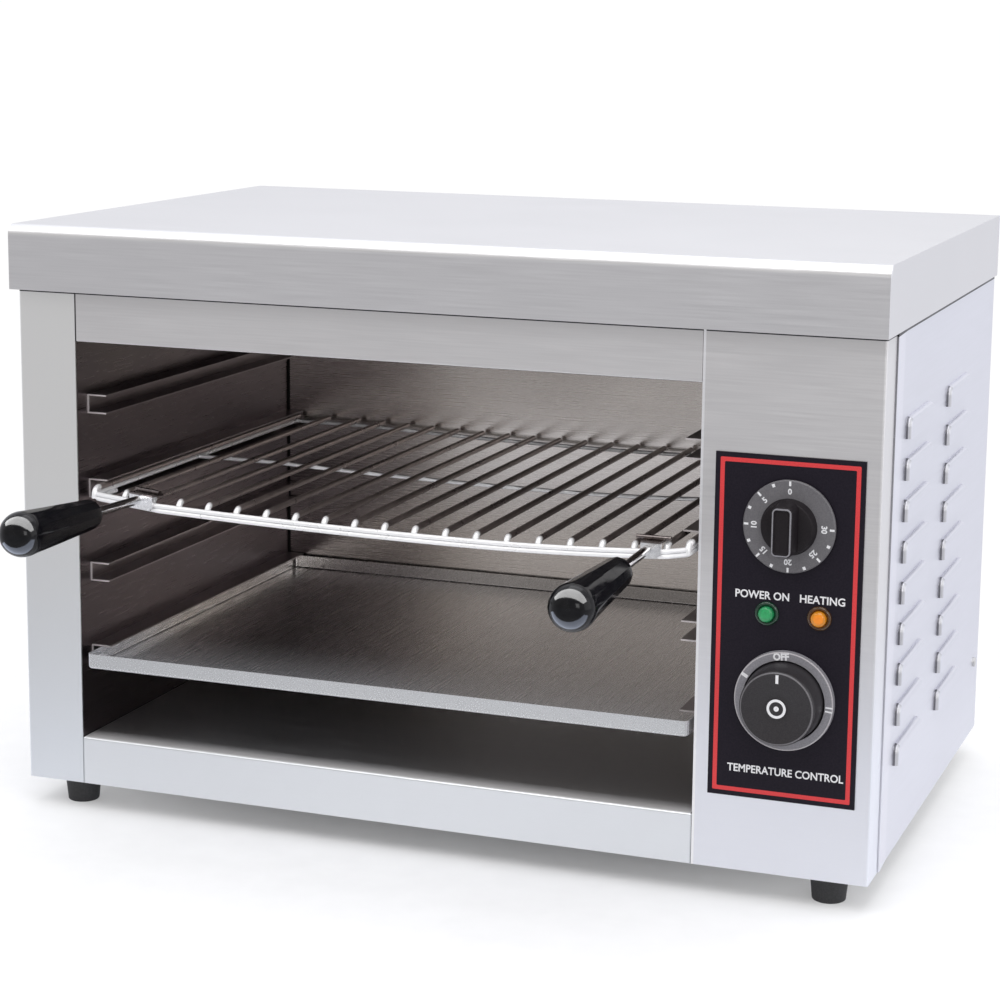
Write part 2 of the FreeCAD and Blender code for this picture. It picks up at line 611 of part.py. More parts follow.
# Upper fascia: channel across the top of the mouth, folded back at both edges
fascia = new_body("upper_fascia")
outline = new_sketch(fascia)
draw_outline(outline, [
    ("0", "0"), ("fascia_return", "0"), ("fascia_return", "sheet_gauge"),
    ("sheet_gauge", "sheet_gauge"), ("sheet_gauge", "panel_top - opening_top - sheet_gauge"),
    ("fascia_return", "panel_top - opening_top - sheet_gauge"),
    ("fascia_return", "panel_top - opening_top"), ("0", "panel_top - opening_top")])
pad(fascia, outline, "opening_width - seam_gap")
round_edges(fascia, "fascia_bend", lambda edge: lies(edge, x=0, y=0))
place(fascia, x="post_width + seam_gap / 2", z="opening_top", turn=ALONG_WIDTH)

# Base pan: front sill folded back into the cavity floor
base_pan = new_body("base_pan")
outline = new_sketch(base_pan)
draw_outline(outline, [
    ("0", "0"), ("sheet_gauge", "0"), ("sheet_gauge", "sill_height - sheet_gauge"),
    ("cavity_depth + liner_gauge", "sill_height - sheet_gauge"),
    ("cavity_depth + liner_gauge", "sill_height"), ("0", "sill_height")])
pad(base_pan, outline, "opening_width - seam_gap")
round_edges(base_pan, "panel_bend", lambda edge: lies(edge, x=0, y=size("sill_height")))
place(base_pan, x="post_width + seam_gap / 2", turn=ALONG_WIDTH)

# Base plate: closes the case from below and carries the feet
base_plate = new_body("base_plate")
outline = new_sketch(base_plate)
draw_rectangle(outline, "0", "0", "inner_width", "inner_depth")
for across in ("foot_inset_x - sheet_gauge", "foot_right - sheet_gauge"):
    for along in ("foot_inset_y - sheet_gauge", "foot_rear - sheet_gauge"):
        draw_circle(outline, across, along, "foot_stud + 2 * screw_play")
pad(base_plate, outline, "sheet_gauge")
place(base_plate, x="sheet_gauge", y="sheet_gauge")

# Rear panel: screwed on, with cooling slots behind the control bay and the cable gland's hole
back_panel = new_body("back_panel")
outline = new_sketch(back_panel)
draw_rectangle(outline, "0", "0", "inner_width", "panel_top")
draw_circle(outline, "gland_place - sheet_gauge", "gland_height", "gland_body + 2 * gland_play")
for across in ("screw_inset", "inner_width - screw_inset"):
    for up in ("screw_inset", "panel_top - screw_top_inset"):
        draw_circle(outline, across, up, "screw_thread + 2 * screw_play")
pad(back_panel, outline, "sheet_gauge")
slot = new_sketch(back_panel)
draw_rectangle(slot, "vent_place", "vent_low", "vent_place + vent_width", "vent_low + vent_height")
first_slot = pocket(back_panel, slot)
doc.recompute()
slots = back_panel.newObject("PartDesign::LinearPattern", "back_panel_slots")
slots.Originals = [first_slot]
slots.Direction = (slot, ["H_Axis"])
slots.Mode = "Spacing"
slots.setExpression("Offset", formula("vent_pitch"))
slots.setExpression("Occurrences", formula("vent_slots"))
back_panel.Tip = slots
place(back_panel, x="body_width - sheet_gauge", y="back_plane", turn=FACING_REAR)

# Cavity liner: two side walls, the back wall and the reflector that lies on them
left_wall = box_item("inner_left_wall", "liner_gauge", "cavity_depth - liner_bottom + liner_gauge",
                     "reflector_height - liner_bottom")
place(left_wall, x="post_width - liner_gauge", y="liner_bottom", z="liner_bottom")

partition = box_item("partition_wall_sheet", "liner_gauge",
                     "cavity_depth - fascia_return - seam_gap + liner_gauge",
                     "reflector_height - liner_bottom")
heater_legs = ["front_heater_place", "front_heater_place + heater_leg_spacing",
               "rear_heater_place", "rear_heater_place + heater_leg_spacing"]
passes = []
for number, leg in enumerate(heater_legs):
    tool = cylinder_item("heater_pass_%d" % number, "heater_tube + 2 * bushing_play", "3 * liner_gauge")
    shift(tool, x="0 - liner_gauge", y="%s - fascia_return - seam_gap" % leg,
          z="heater_height - liner_bottom", turn=FACING_RIGHT)
    passes.append(tool)
tool = cylinder_item("capillary_pass", "capillary + 2 * bushing_play", "3 * liner_gauge")
shift(tool, x="0 - liner_gauge", y="capillary_front - fascia_return - seam_gap",
      z="bulb_height - liner_bottom", turn=FACING_RIGHT)
passes.append(tool)
partition = without("partition_wall", partition, passes)
place(partition, x="bay_left", y="fascia_return + seam_gap", z="liner_bottom")

back_wall = box_item("inner_back_wall", "opening_width - seam_gap", "liner_gauge",
                     "reflector_height - sill_height")
place(back_wall, x="post_width + seam_gap / 2", y="cavity_depth", z="sill_height")

reflector = box_item("reflector", "opening_width + 2 * liner_gauge",
                     "cavity_depth + liner_gauge - fascia_return - seam_gap", "liner_gauge")
place(reflector, x="post_width - liner_gauge", y="fascia_return + seam_gap", z="reflector_height")

# Lid: folded down at the front and both sides, rolled along its front top edge, open at the rear
lid = new_body("lid_cover")
outline = new_sketch(lid)
draw_rectangle(outline, "0", "0", "body_width + 2 * lid_overhang_side", "body_depth + lid_overhang_front")
pad(lid, outline, "lid_skirt")
inside = new_sketch(lid)
draw_rectangle(inside, "sheet_gauge", "sheet_gauge",
               "body_width + 2 * lid_overhang_side - sheet_gauge", "body_depth + lid_overhang_front")
pocket(lid, inside, "lid_skirt - sheet_gauge", upwards=True)
round_edges(lid, "lid_bend_radius", lambda edge: lies(edge, y=0, z=size("lid_skirt")))
round_edges(lid, "lid_bend_radius - sheet_gauge",
            lambda edge: lies(edge, y=size("sheet_gauge"), z=size("lid_skirt") - size("sheet_gauge")))
place(lid, x="0 - lid_overhang_side", y="0 - lid_overhang_front", z="case_height - lid_skirt")


# Runner rails: a C of thin sheet spot-welded to each side wall, one pair per level
def runner_rail(label, level, mirrored):
    side = "0 - " if mirrored else ""
    rail = new_body(label)
    profile = new_sketch(rail)
    draw_outline(profile, [
        ("0", "0"), (side + "rail_flange", "0"), (side + "rail_flange", "rail_gauge"),
        (side + "rail_gauge", "rail_gauge"), (side + "rail_gauge", "rail_height - rail_gauge"),
        (side + "rail_flange", "rail_height - rail_gauge"), (side + "rail_flange", "rail_height"),
        ("0", "rail_height")])
    pad(rail, profile, "rail_length")
    wall = "bay_left" if mirrored else "post_width"
    place(rail, x=wall, y="rail_rear", z="rail_lowest + %d * rail_pitch" % level, turn=FACING_FRONT)


for level in range(int(size("rail_levels"))):
    runner_rail("left_rail_%d" % (level + 1), level, False)
    runner_rail("right_rail_%d" % (level + 1), level, True)

# Drip tray: shallow folded pan in the lowest rails
tray = new_body("drip_tray")
outline = new_sketch(tray)
draw_rectangle(outline, "0", "0", "tray_width", "tray_depth")
pad(tray, outline, "tray_height")
hollow = new_sketch(tray)
draw_rectangle(hollow, "tray_gauge", "tray_gauge", "tray_width - tray_gauge", "tray_depth - tray_gauge")
hollow.setExpression("AttachmentOffset.Base.z", formula("tray_gauge"))
pocket(tray, hollow, "tray_height", upwards=True)


def upright(edge, inside):
    """An upright edge of the tray, of its hollow or of its outside."""
    low = size("tray_gauge") if inside else 0
    return edge.BoundBox.ZLength > 5 and abs(edge.BoundBox.ZMin - low) < 0.01


round_edges(tray, "tray_corner - tray_gauge", lambda edge: upright(edge, True))
round_edges(tray, "tray_corner", lambda edge: upright(edge, False))
round_edges(tray, "tray_bend", lambda edge: lies(edge, z=0))
round_edges(tray, "tray_bend - tray_gauge", lambda edge: lies(edge, z=size("tray_gauge")))
place(tray, x="web_left + tray_left_gap", y="0 - tray_stickout", z="tray_floor")


# Wire rack: frame wires, cross wires that dip a little, and rods welded on top of them.
# Rack frame: x from the left frame wire, y from the front plane, z from the case's underside.
def dip_shape(across):
    """The dip on one side of the lowest point: its half width, arc reach, arc radius and arc rise."""
    low = size("rack_low_spot")
    left = across < low
    half = low - size("rack_left_corner") if left else size("rack_width") - size("rack_right_corner") - low
    reach = half - size("rack_straight")
    radius = (reach * reach / 2 + size("rack_straight") * reach) / size("rack_sag")
    return half, reach, radius, math.sqrt(radius * radius - reach * reach)


def dip(across):
    """How far a cross wire has sunk at a place across the rack: arcs that run out in straight ends."""
    half, reach, radius, upright_leg = dip_shape(across)
    away = abs(across - size("rack_low_spot"))
    slope = reach / upright_leg
    if away >= half:
        return 0.0
    if away > reach:
        return (half - away) * slope
    return math.sqrt(radius * radius - away * away) - upright_leg + (half - reach) * slope


def rounded(points, bend):
    """Edges of straight runs between points, joined by tangent arcs of one radius."""
    edges = []
    start = points[0]
    for before, corner, after in zip(points, points[1:], points[2:]):
        arriving = (corner - before).normalize()
        leaving = (after - corner).normalize()
        half = arriving.getAngle(leaving) / 2
        enter = corner - arriving * bend * math.tan(half)
        leave = corner + leaving * bend * math.tan(half)
        inwards = (leaving - arriving).normalize()
        middle = corner + inwards * (bend / math.cos(half) - bend)
        edges.append(Part.LineSegment(start, enter).toShape())
        edges.append(Part.Arc(enter, middle, leave).toShape())
        start = leave
    edges.append(Part.LineSegment(start, points[-1]).toShape())
    return edges


def swept(edges, diameter):
    """A round wire or tube along edges that join without kinks."""
    first = edges[0]
    start = first.FirstParameter
    circle = Part.makeCircle(diameter / 2, first.valueAt(start), first.tangentAt(start))
    return Part.Wire(edges).makePipeShell([Part.Wire([circle])], True, False)


def dipping_wire(left_end, right_end, along, height, bend, diameter):
    """A wire across the rack between two chains of end points."""
    low = size("rack_low_spot")

    def at(across):
        return Vector(across, along, height - dip(across))

    left_bend = size("rack_left_corner")
    right_bend = size("rack_width") - size("rack_right_corner")
    left_start = left_bend + size("rack_straight")
    right_start = right_bend - size("rack_straight")
    edges = rounded(left_end + [at(left_bend), at(left_start)], bend)
    for start, end in ((left_start, low), (low, right_start)):
        edges.append(Part.Arc(at(start), at((start + end) / 2), at(end)).toShape())
    return swept(edges + rounded([at(right_start), at(right_bend)] + right_end, bend), diameter)


def corner_place(side):
    """How far behind the front plane a slanted corner meets its side wire."""
    return size("rack_%s_slant" % side) - size("rack_stickout")


def front_wire(height, side_end):
    """Front wire with slanted corners, and its two sides as far back as side_end."""
    wide = size("rack_width")
    left = [Vector(0, side_end, height), Vector(0, corner_place("left"), height)]
    right = [Vector(wide, corner_place("right"), height), Vector(wide, side_end, height)]
    return dipping_wire(left, right, -size("rack_stickout"), height,
                        size("rack_corner_bend"), size("frame_wire"))


def cross_wire(along, height):
    """Cross wire from one side wire to the other."""
    left = [Vector(0, along, height)]
    right = [Vector(size("rack_width"), along, height)]
    return dipping_wire(left, right, along, height, size("cross_wire_bend"), size("cross_wire"))


def rack_rod(across):
    """A rod on the cross wires, its front end bent down behind the front wires."""
    rod = size("rack_rod")
    bend = size("rod_bend")
    line = size("rod_line") - dip(across)
    left_share = 1 - across / size("rack_left_corner")
    right_share = 1 - (size("rack_width") - across) / size("rack_right_corner")
    share = max(left_share, right_share, 0.0)
    side = "left" if left_share > 0 else "right"
    depth = size("rack_%s_slant" % side)
    slant = depth / size("rack_%s_corner" % side) if share > 0 else 0.0
    reach = size("frame_wire") / 2 + rod / 2 - size("weld_depth")
    behind = share * depth - size("rack_stickout") + reach * math.hypot(1, slant)
    return bent_rod(across, behind, line, dip(across), bend, rod)


def bent_rod(across, front, line, sunk, bend, rod):
    """A rod from its foot beside the lower front wire, up and to the rear of the rack."""
    foot = Vector(across, front, size("lower_wire") - sunk)
    corner = Vector(across, front, line)
    tail = Vector(across, size("rack_back") + size("rod_tail"), line)
    return swept(rounded([foot, corner, tail], bend), rod)


def side_rod(across, side):
    """A rod over a side wire, its foot welded into the corner of the front wires."""
    return bent_rod(across, corner_place(side), size("rod_line"), 0, size("rod_bend"), size("rack_rod"))


def wire_rack_shape():
    back = size("rack_back")
    upper = size("upper_wire")
    wide = size("rack_width")
    frame = [front_wire(upper, back + size("cross_wire") / 2)]
    frame.append(front_wire(size("lower_wire"), corner_place("left") + size("rack_lower_tail")))
    frame += [cross_wire(size("rack_middle"), upper), cross_wire(back, upper)]
    rods = [side_rod(0, "left"), side_rod(wide, "right"), rack_rod(size("corner_rod"))]
    rods += [rack_rod(size("rod_first") + number * size("rod_pitch"))
             for number in range(int(size("rod_count")))]
    return frame[0].fuse(frame[1:] + rods)


rack = free_shape("wire_rack", wire_rack_shape())
place(rack, x="rack_left")


# Handles: a sheet hook with a cross pin, a shank and a turned grip, twice
def hook_seat(side):
    """How far a shank's place on the front wires is set back, and the slant of the wires there."""
    if side == "right" or size("left_handle_place") > size("rack_left_corner"):
        return 0.0, 0.0
    share = 1 - size("left_handle_place") / size("rack_left_corner")
    slant = math.degrees(math.atan2(size("rack_left_slant"), size("rack_left_corner")))
    return share * size("rack_left_slant"), slant


def handle_hook(side, across):
    """Plate in front of the front wires, folded back over them, with a pin welded on the fold."""
    gauge = size("hook_gauge")
    level = size("upper_wire") - dip(across)
    set_back, slant = hook_seat(side)
    wide = size(side + "_hook_width")
    left = -size(side + "_hook_edge")
    face = -size("frame_wire") / 2 - size("hook_play")
    cut = size("hook_corner")
    bottom = level - size("hook_drop")
    over = level + size("frame_wire") / 2 + size("rack_rod") - size("weld_depth") + size("hook_play")
    corners = [Vector(left, face, bottom), Vector(left + wide - cut, face, bottom),
               Vector(left + wide, face, bottom + cut), Vector(left + wide, face, over + gauge),
               Vector(left, face, over + gauge)]
    plate = Part.Face(Part.makePolygon(corners + corners[:1])).extrude(Vector(0, -gauge, 0))
    fold = Part.makeBox(wide, size("hook_depth"), gauge, Vector(left, face - gauge / 2, over))
    pin_start = Vector(left + wide / 2 - size("cross_pin_length") / 2, size("pin_place"),
                       over + gauge + size("cross_pin") / 2 - size("weld_depth"))
    pin = Part.makeCylinder(size("cross_pin") / 2, size("cross_pin_length"), pin_start, Vector(1, 0, 0))
    item = free_shape(side + "_handle_hook", plate.fuse([fold, pin]).removeSplitter())
    place(item, x="rack_left + %s_handle_place" % side, y="%.4f - rack_stickout" % set_back,
          turn=Rotation(Vector(0, 0, 1), -slant))


def aim(tilt, splay):
    """Turn from upright to a handle's own direction: forwards, tilted up and splayed to the left."""
    up = math.radians(tilt)
    out = math.radians(splay)
    return Rotation(Vector(0, 0, 1), Vector(-math.sin(out) * math.cos(up), -math.cos(out) * math.cos(up),
                                            math.sin(up)))


def shank_setback(side, axis):
    """How far behind its usual start a shank begins, up against a hook that stands at a slant."""
    set_back, slant = hook_seat(side)
    if slant == 0:
        return 0.0
    turned = math.radians(slant)
    facing = Vector(-math.sin(turned), -math.cos(turned), 0)
    lean = size("shank_wire") / 2 * axis.cross(facing).Length
    stack = size("frame_wire") / 2 + size("hook_play") + size("hook_gauge")
    return set_back - ((stack + lean) / math.cos(turned) - stack - size("shank_stand") / 2)


def handle(side):
    place_name = side + "_handle_place"
    across = size(place_name)
    turn = aim(size(side + "_handle_tilt"), size(side + "_handle_splay"))
    axis = turn.multVec(Vector(0, 0, 1))
    level = "upper_wire - %.4f + %s_shank_rise" % (dip(across), side)
    handle_hook(side, across)
    further = -shank_setback(side, axis) / axis.y
    root = axis * -further
    shank = cylinder_item(side + "_handle_shank", "shank_wire",
                          "shank_reach + shank_socket + %.4f" % further)
    place(shank, x="rack_left + %s + %.4f" % (place_name, root.x),
          y="shank_start + %.4f" % root.y, z="%s + %.4f" % (level, root.z), turn=turn)
    grip = new_body(side + "_grip")
    revolve(grip, [("0", "0"), ("grip_small / 2", "0"),
                   ("grip_large / 2", "grip_length - grip_shoulder"),
                   ("grip_large / 2", "grip_length"), ("0", "grip_length")])
    round_edges(grip, "grip_dome", lambda edge: lies(edge, z=size("grip_length")))
    round_edges(grip, "grip_heel", lambda edge: lies(edge, z=0))
    bore = new_sketch(grip)
    draw_circle(bore, "0", "0", "shank_wire + 2 * shank_play")
    pocket(grip, bore, "socket_depth", upwards=True)
    start = axis * size("shank_reach")
    place(grip, x="rack_left + %s + %.4f" % (place_name, start.x),
          y="shank_start + %.4f" % start.y, z="%s + %.4f" % (level, start.z), turn=turn)


handle("left")
handle("right")

# Control plate: thin printed plate on the control panel
plate = new_body("control_plate")
outline = new_sketch(plate)
draw_rectangle(outline, "0", "0", "plate_width", "plate_height")
for across, up, hole_size in (("knob_axis", "timer_height", "bushing"),
                              ("knob_axis", "thermostat_height", "bushing"),
                              ("green_lamp_place", "lamp_height", "lens_neck"),
                              ("orange_lamp_place", "lamp_height", "lens_neck")):
    draw_circle(outline, across + " - plate_left", up + " - plate_bottom", hole_size + " + 2 * bushing_play")
pad(plate, outline, "plate_gauge")
place(plate, x="bay_left + plate_left", z="plate_bottom", turn=FACING_FRONT)


# Spindles: one for each rotary control, from inside its knob to inside its works
def spindle(label, height):
    item = cylinder_item(label, "spindle", "spindle_length")
    place(item, x="knob_x", y="knob_y - spindle_grip + spindle_length", z=height, turn=FACING_FRONT)


spindle("timer_spindle", "timer_height")
spindle("thermostat_spindle", "thermostat_height")

# Timer knob: printed skirt, round base and finger bar in one moulding
knob = new_body("timer_knob")
revolve(knob, [("0", "0"), ("skirt_diameter / 2", "0"), ("skirt_diameter / 2", "skirt_thickness"),
               ("hub_diameter / 2", "skirt_thickness"),
               ("hub_diameter / 2 - hub_taper", "skirt_thickness + hub_height"),
               ("0", "skirt_thickness + hub_height")])
bar = new_sketch(knob)
corners = []
for across, up in ((1, 1), (-1, 1), (-1, -1), (1, -1)):
    side = "%d * bar_width / 2" % across
    end = "%d * bar_length / 2" % up
    inner = [(side, "%s - %d * bar_corner" % (end, up)), ("%s - %d * bar_corner" % (side, across), end)]
    corners += inner if across * up > 0 else inner[::-1]
draw_outline(bar, corners)
pad(knob, bar, "skirt_thickness + hub_height + bar_height")
round_edges(knob, "knob_rounding",
            lambda edge: lies(edge, z=size("skirt_thickness") + size("hub_height") + size("bar_height")))
bore = new_sketch(knob)
draw_circle(bore, "0", "0", "spindle + 2 * spindle_play")
pocket(knob, bore, "knob_socket", upwards=True)
place(knob, x="knob_x", y="knob_y", z="timer_height", turn=FACING_FRONT)

# Thermostat dial ring: fixed to the plate round the knob
ring = new_body("thermostat_ring")
revolve(ring, [("ring_inner / 2", "0"), ("ring_outer / 2", "0"), ("ring_outer / 2 - ring_bevel", "ring_height"),
               ("ring_inner / 2", "ring_height")])
place(ring, x="knob_x", y="0 - plate_gauge", z="thermostat_height", turn=FACING_FRONT)

# Thermostat knob: slightly tapered cap with a dished face and a round boss
cap = new_body("thermostat_knob")
revolve(cap, [("0", "0"), ("cap_base / 2", "0"), ("cap_face / 2", "cap_height"),
              ("dish_diameter / 2", "cap_height"), ("boss_diameter / 2 + dish_slope", "cap_height - dish_depth"),
              ("boss_diameter / 2", "cap_height - dish_depth"),
              ("boss_diameter / 2 - boss_taper", "cap_height - dish_depth + boss_height"),
              ("0", "cap_height - dish_depth + boss_height")])
round_edges(cap, "cap_rounding",
            lambda edge: lies(edge, z=size("cap_height")) and edge.BoundBox.XLength > size("dish_diameter") + 1)
bore = new_sketch(cap)
draw_circle(bore, "0", "0", "spindle + 2 * spindle_play")
pocket(cap, bore, "knob_socket", upwards=True)
place(cap, x="knob_x", y="knob_y", z="thermostat_height", turn=FACING_FRONT)


# Pilot lamps: coloured lens with a flange on the plate, neck through the sheet, holder behind it
def lamp(colour, across):
    lens = new_body(colour + "_lamp_lens")
    revolve(lens, [("0", "0 - plate_gauge - sheet_gauge"), ("lens_neck / 2", "0 - plate_gauge - sheet_gauge"),
                   ("lens_neck / 2", "0"), ("lens_flange / 2", "0"),
                   ("lens_flange / 2 - lens_bevel", "lens_flange_height"),
                   ("lens_diameter / 2", "lens_flange_height"),
                   ("lens_diameter / 2 - lens_taper", "lens_height"), ("0", "lens_height")])
    round_edges(lens, "lens_rounding", lambda edge: lies(edge, z=size("lens_height")))
    place(lens, x="bay_left + " + across, y="0 - plate_gauge", z="lamp_height", turn=FACING_FRONT)
    holder = cylinder_item(colour + "_lamp_holder", "lamp_body", "lamp_body_length")
    place(holder, x="bay_left + " + across, y="sheet_gauge + lamp_body_length", z="lamp_height",
          turn=FACING_FRONT)


lamp("green", "green_lamp_place")
lamp("orange", "orange_lamp_place")

# Timer works: box behind the panel with a threaded neck through it, bored for the spindle
timer_box = shift(box_item("timer_box", "timer_case_width", "timer_case_width", "timer_case_depth"),
                  x="0 - timer_case_width / 2", y="0 - timer_case_width / 2", z="0 - timer_case_depth")
timer_neck = cylinder_item("timer_neck", "bushing", "sheet_gauge + plate_gauge")
timer_bore = shift(cylinder_item("timer_bore", "spindle + 2 * spindle_play", "timer_case_depth"),
                   z="0 - spindle_length + knob_socket")
timer_works = without("timer_works", joined("timer_solid", [timer_box, timer_neck]), [timer_bore])
place(timer_works, x="knob_x", y="sheet_gauge", z="timer_height", turn=FACING_FRONT)

# Thermostat works: round housing behind the panel, with the same neck
stat_case = shift(cylinder_item("stat_case", "thermostat_case", "thermostat_case_depth"),
                  z="0 - thermostat_case_depth")
stat_neck = cylinder_item("stat_neck", "bushing", "sheet_gauge + plate_gauge")
stat_bore = shift(cylinder_item("stat_bore", "spindle + 2 * spindle_play", "thermostat_case_depth"),
                  z="0 - spindle_length + knob_socket")
stat_works = without("thermostat_works", joined("stat_solid", [stat_case, stat_neck]), [stat_bore])
place(stat_works, x="knob_x", y="sheet_gauge", z="thermostat_height", turn=FACING_FRONT)


# Heating elements: two hairpins of round sheathed tube under the reflector
def hairpin(label, first_leg):
    """Legs run from the control bay to the left end of the cavity, local x from the partition."""
    run = size("opening_width") - size("heater_end_gap")
    spacing = size("heater_leg_spacing")
    out = size("heater_pass")
    radius = spacing / 2
    legs = [Part.LineSegment(Vector(out, 0, 0), Vector(radius - run, 0, 0)).toShape(),
            Part.Arc(Vector(radius - run, 0, 0), Vector(-run, radius, 0),
                     Vector(radius - run, spacing, 0)).toShape(),
            Part.LineSegment(Vector(radius - run, spacing, 0), Vector(out, spacing, 0)).toShape()]
    item = free_shape(label, swept(legs, size("heater_tube")))
    place(item, x="bay_left", y=first_leg, z="heater_height")


hairpin("front_heating_element", "front_heater_place")
hairpin("rear_heating_element", "rear_heater_place")

# Element ferrules: one washer-shaped seat round each element end, on the control bay side
rings = []
for number, leg in enumerate(heater_legs):
    rim = cylinder_item("ferrule_rim_%d" % number, "ferrule_diameter", "ferrule_thickness")
    eye = cylinder_item("ferrule_eye_%d" % number, "heater_tube + 2 * gland_play", "ferrule_thickness")
    ferrule = without("ferrule_%d" % number, rim, [eye])
    shift(ferrule, y=leg, turn=FACING_RIGHT)
    rings.append(ferrule)
ferrules = doc.addObject("Part::Compound", "element_ferrules")
ferrules.Label = "element_ferrules"
ferrules.Links = rings
place(ferrules, x="bay_left + liner_gauge", z="heater_height")


# Element hangers: folded straps under the elements, turned up to the reflector at both ends
def hanger(label, across):
    strap = new_body(label)
    profile = new_sketch(strap)
    first = "front_heater_place - hanger_overrun"
    last = "rear_heater_place + heater_leg_spacing + hanger_overrun"
    low = "heater_rest - slide_gap - liner_gauge"
    draw_outline(profile, [
        (first, low), (last, low), (last, "reflector_height"),
        (last + " - liner_gauge", "reflector_height"), (last + " - liner_gauge", low + " + liner_gauge"),
        (first + " + liner_gauge", low + " + liner_gauge"), (first + " + liner_gauge", "reflector_height"),
        (first, "reflector_height")])
    pad(strap, profile, "hanger_width")
    place(strap, x=across, turn=ALONG_WIDTH)


hanger("left_element_hanger", "post_width + hanger_inset")
hanger("right_element_hanger", "bay_left - hanger_inset - hanger_width")

# Thermostat bulb: sensing tube along the partition wall, with its capillary to the works
bulb_x = -size("bulb_standoff")
bulb_front = size("bulb_place")
pass_y = size("capillary_front")
bulb_z = size("bulb_height")
bay_x = size("capillary_bay")
stat_z = size("thermostat_height")
end_x = size("knob_axis") - size("capillary_side")
works_y = size("sheet_gauge") + size("thermostat_case_depth")
bulb_shape = Part.makeCylinder(size("bulb_diameter") / 2, size("bulb_length"),
                               Vector(bulb_x, bulb_front, bulb_z), Vector(0, 1, 0))
capillary_path = [
    Vector(bulb_x, bulb_front + size("capillary"), bulb_z), Vector(bulb_x, pass_y, bulb_z),
    Vector(bay_x, pass_y, bulb_z), Vector(bay_x, pass_y, stat_z + size("capillary_step")),
    Vector(end_x, pass_y - size("capillary_slant"), stat_z), Vector(end_x, works_y, stat_z)]
capillary_shape = swept(rounded(capillary_path, size("capillary_bend")), size("capillary"))
bulb = free_shape("thermostat_bulb", bulb_shape.fuse(capillary_shape).removeSplitter())
place(bulb, x="bay_left")


# Bulb clips: two straps of thin strip that hold the bulb off the partition wall
def bulb_clip(along):
    outer = size("bulb_diameter") / 2 + size("liner_gauge") + size("slide_gap")
    inner = size("bulb_diameter") / 2 + size("slide_gap")
    reach = size("bulb_standoff")
    wide = size("clip_width")
    shell = Part.makeCylinder(outer, wide, Vector(-reach, along, 0), Vector(0, 1, 0))
    arm = Part.makeBox(reach, wide, size("liner_gauge") * 2,
                       Vector(-reach, along, -outer)).fuse(shell)
    bore = Part.makeCylinder(inner, wide, Vector(-reach, along, 0), Vector(0, 1, 0))
    return arm.cut(bore).removeSplitter()


front_clip = size("bulb_place") + size("clip_inset")
rear_clip = size("bulb_place") + size("bulb_length") - size("clip_inset") - size("clip_width")
clips = Part.makeCompound([bulb_clip(front_clip), bulb_clip(rear_clip)])
clip_item = free_shape("bulb_clips", clips)
place(clip_item, x="bay_left", z="bulb_height")

# Terminal block on the base plate at the rear of the control bay
block = shift(box_item("block_solid", "block_length", "block_depth", "block_height"))
ways = []
for number in range(int(size("block_ways"))):
    way = cylinder_item("block_way_%d" % number, "block_way", "block_height / 2")
    shift(way, x="block_length * (%d + 0.5) / block_ways" % number, y="block_depth / 2",
          z="block_height / 2")
    ways.append(way)
block = without("terminal_block", block, ways)
place(block, x="bay_left + (bay_width - block_length) / 2", y="block_place", z="sheet_gauge")

# Internal wiring: insulated leads between the elements, the controls, the lamps and the block
def lead(points):
    return swept(rounded(points, size("wire_bend")), size("wire_diameter"))


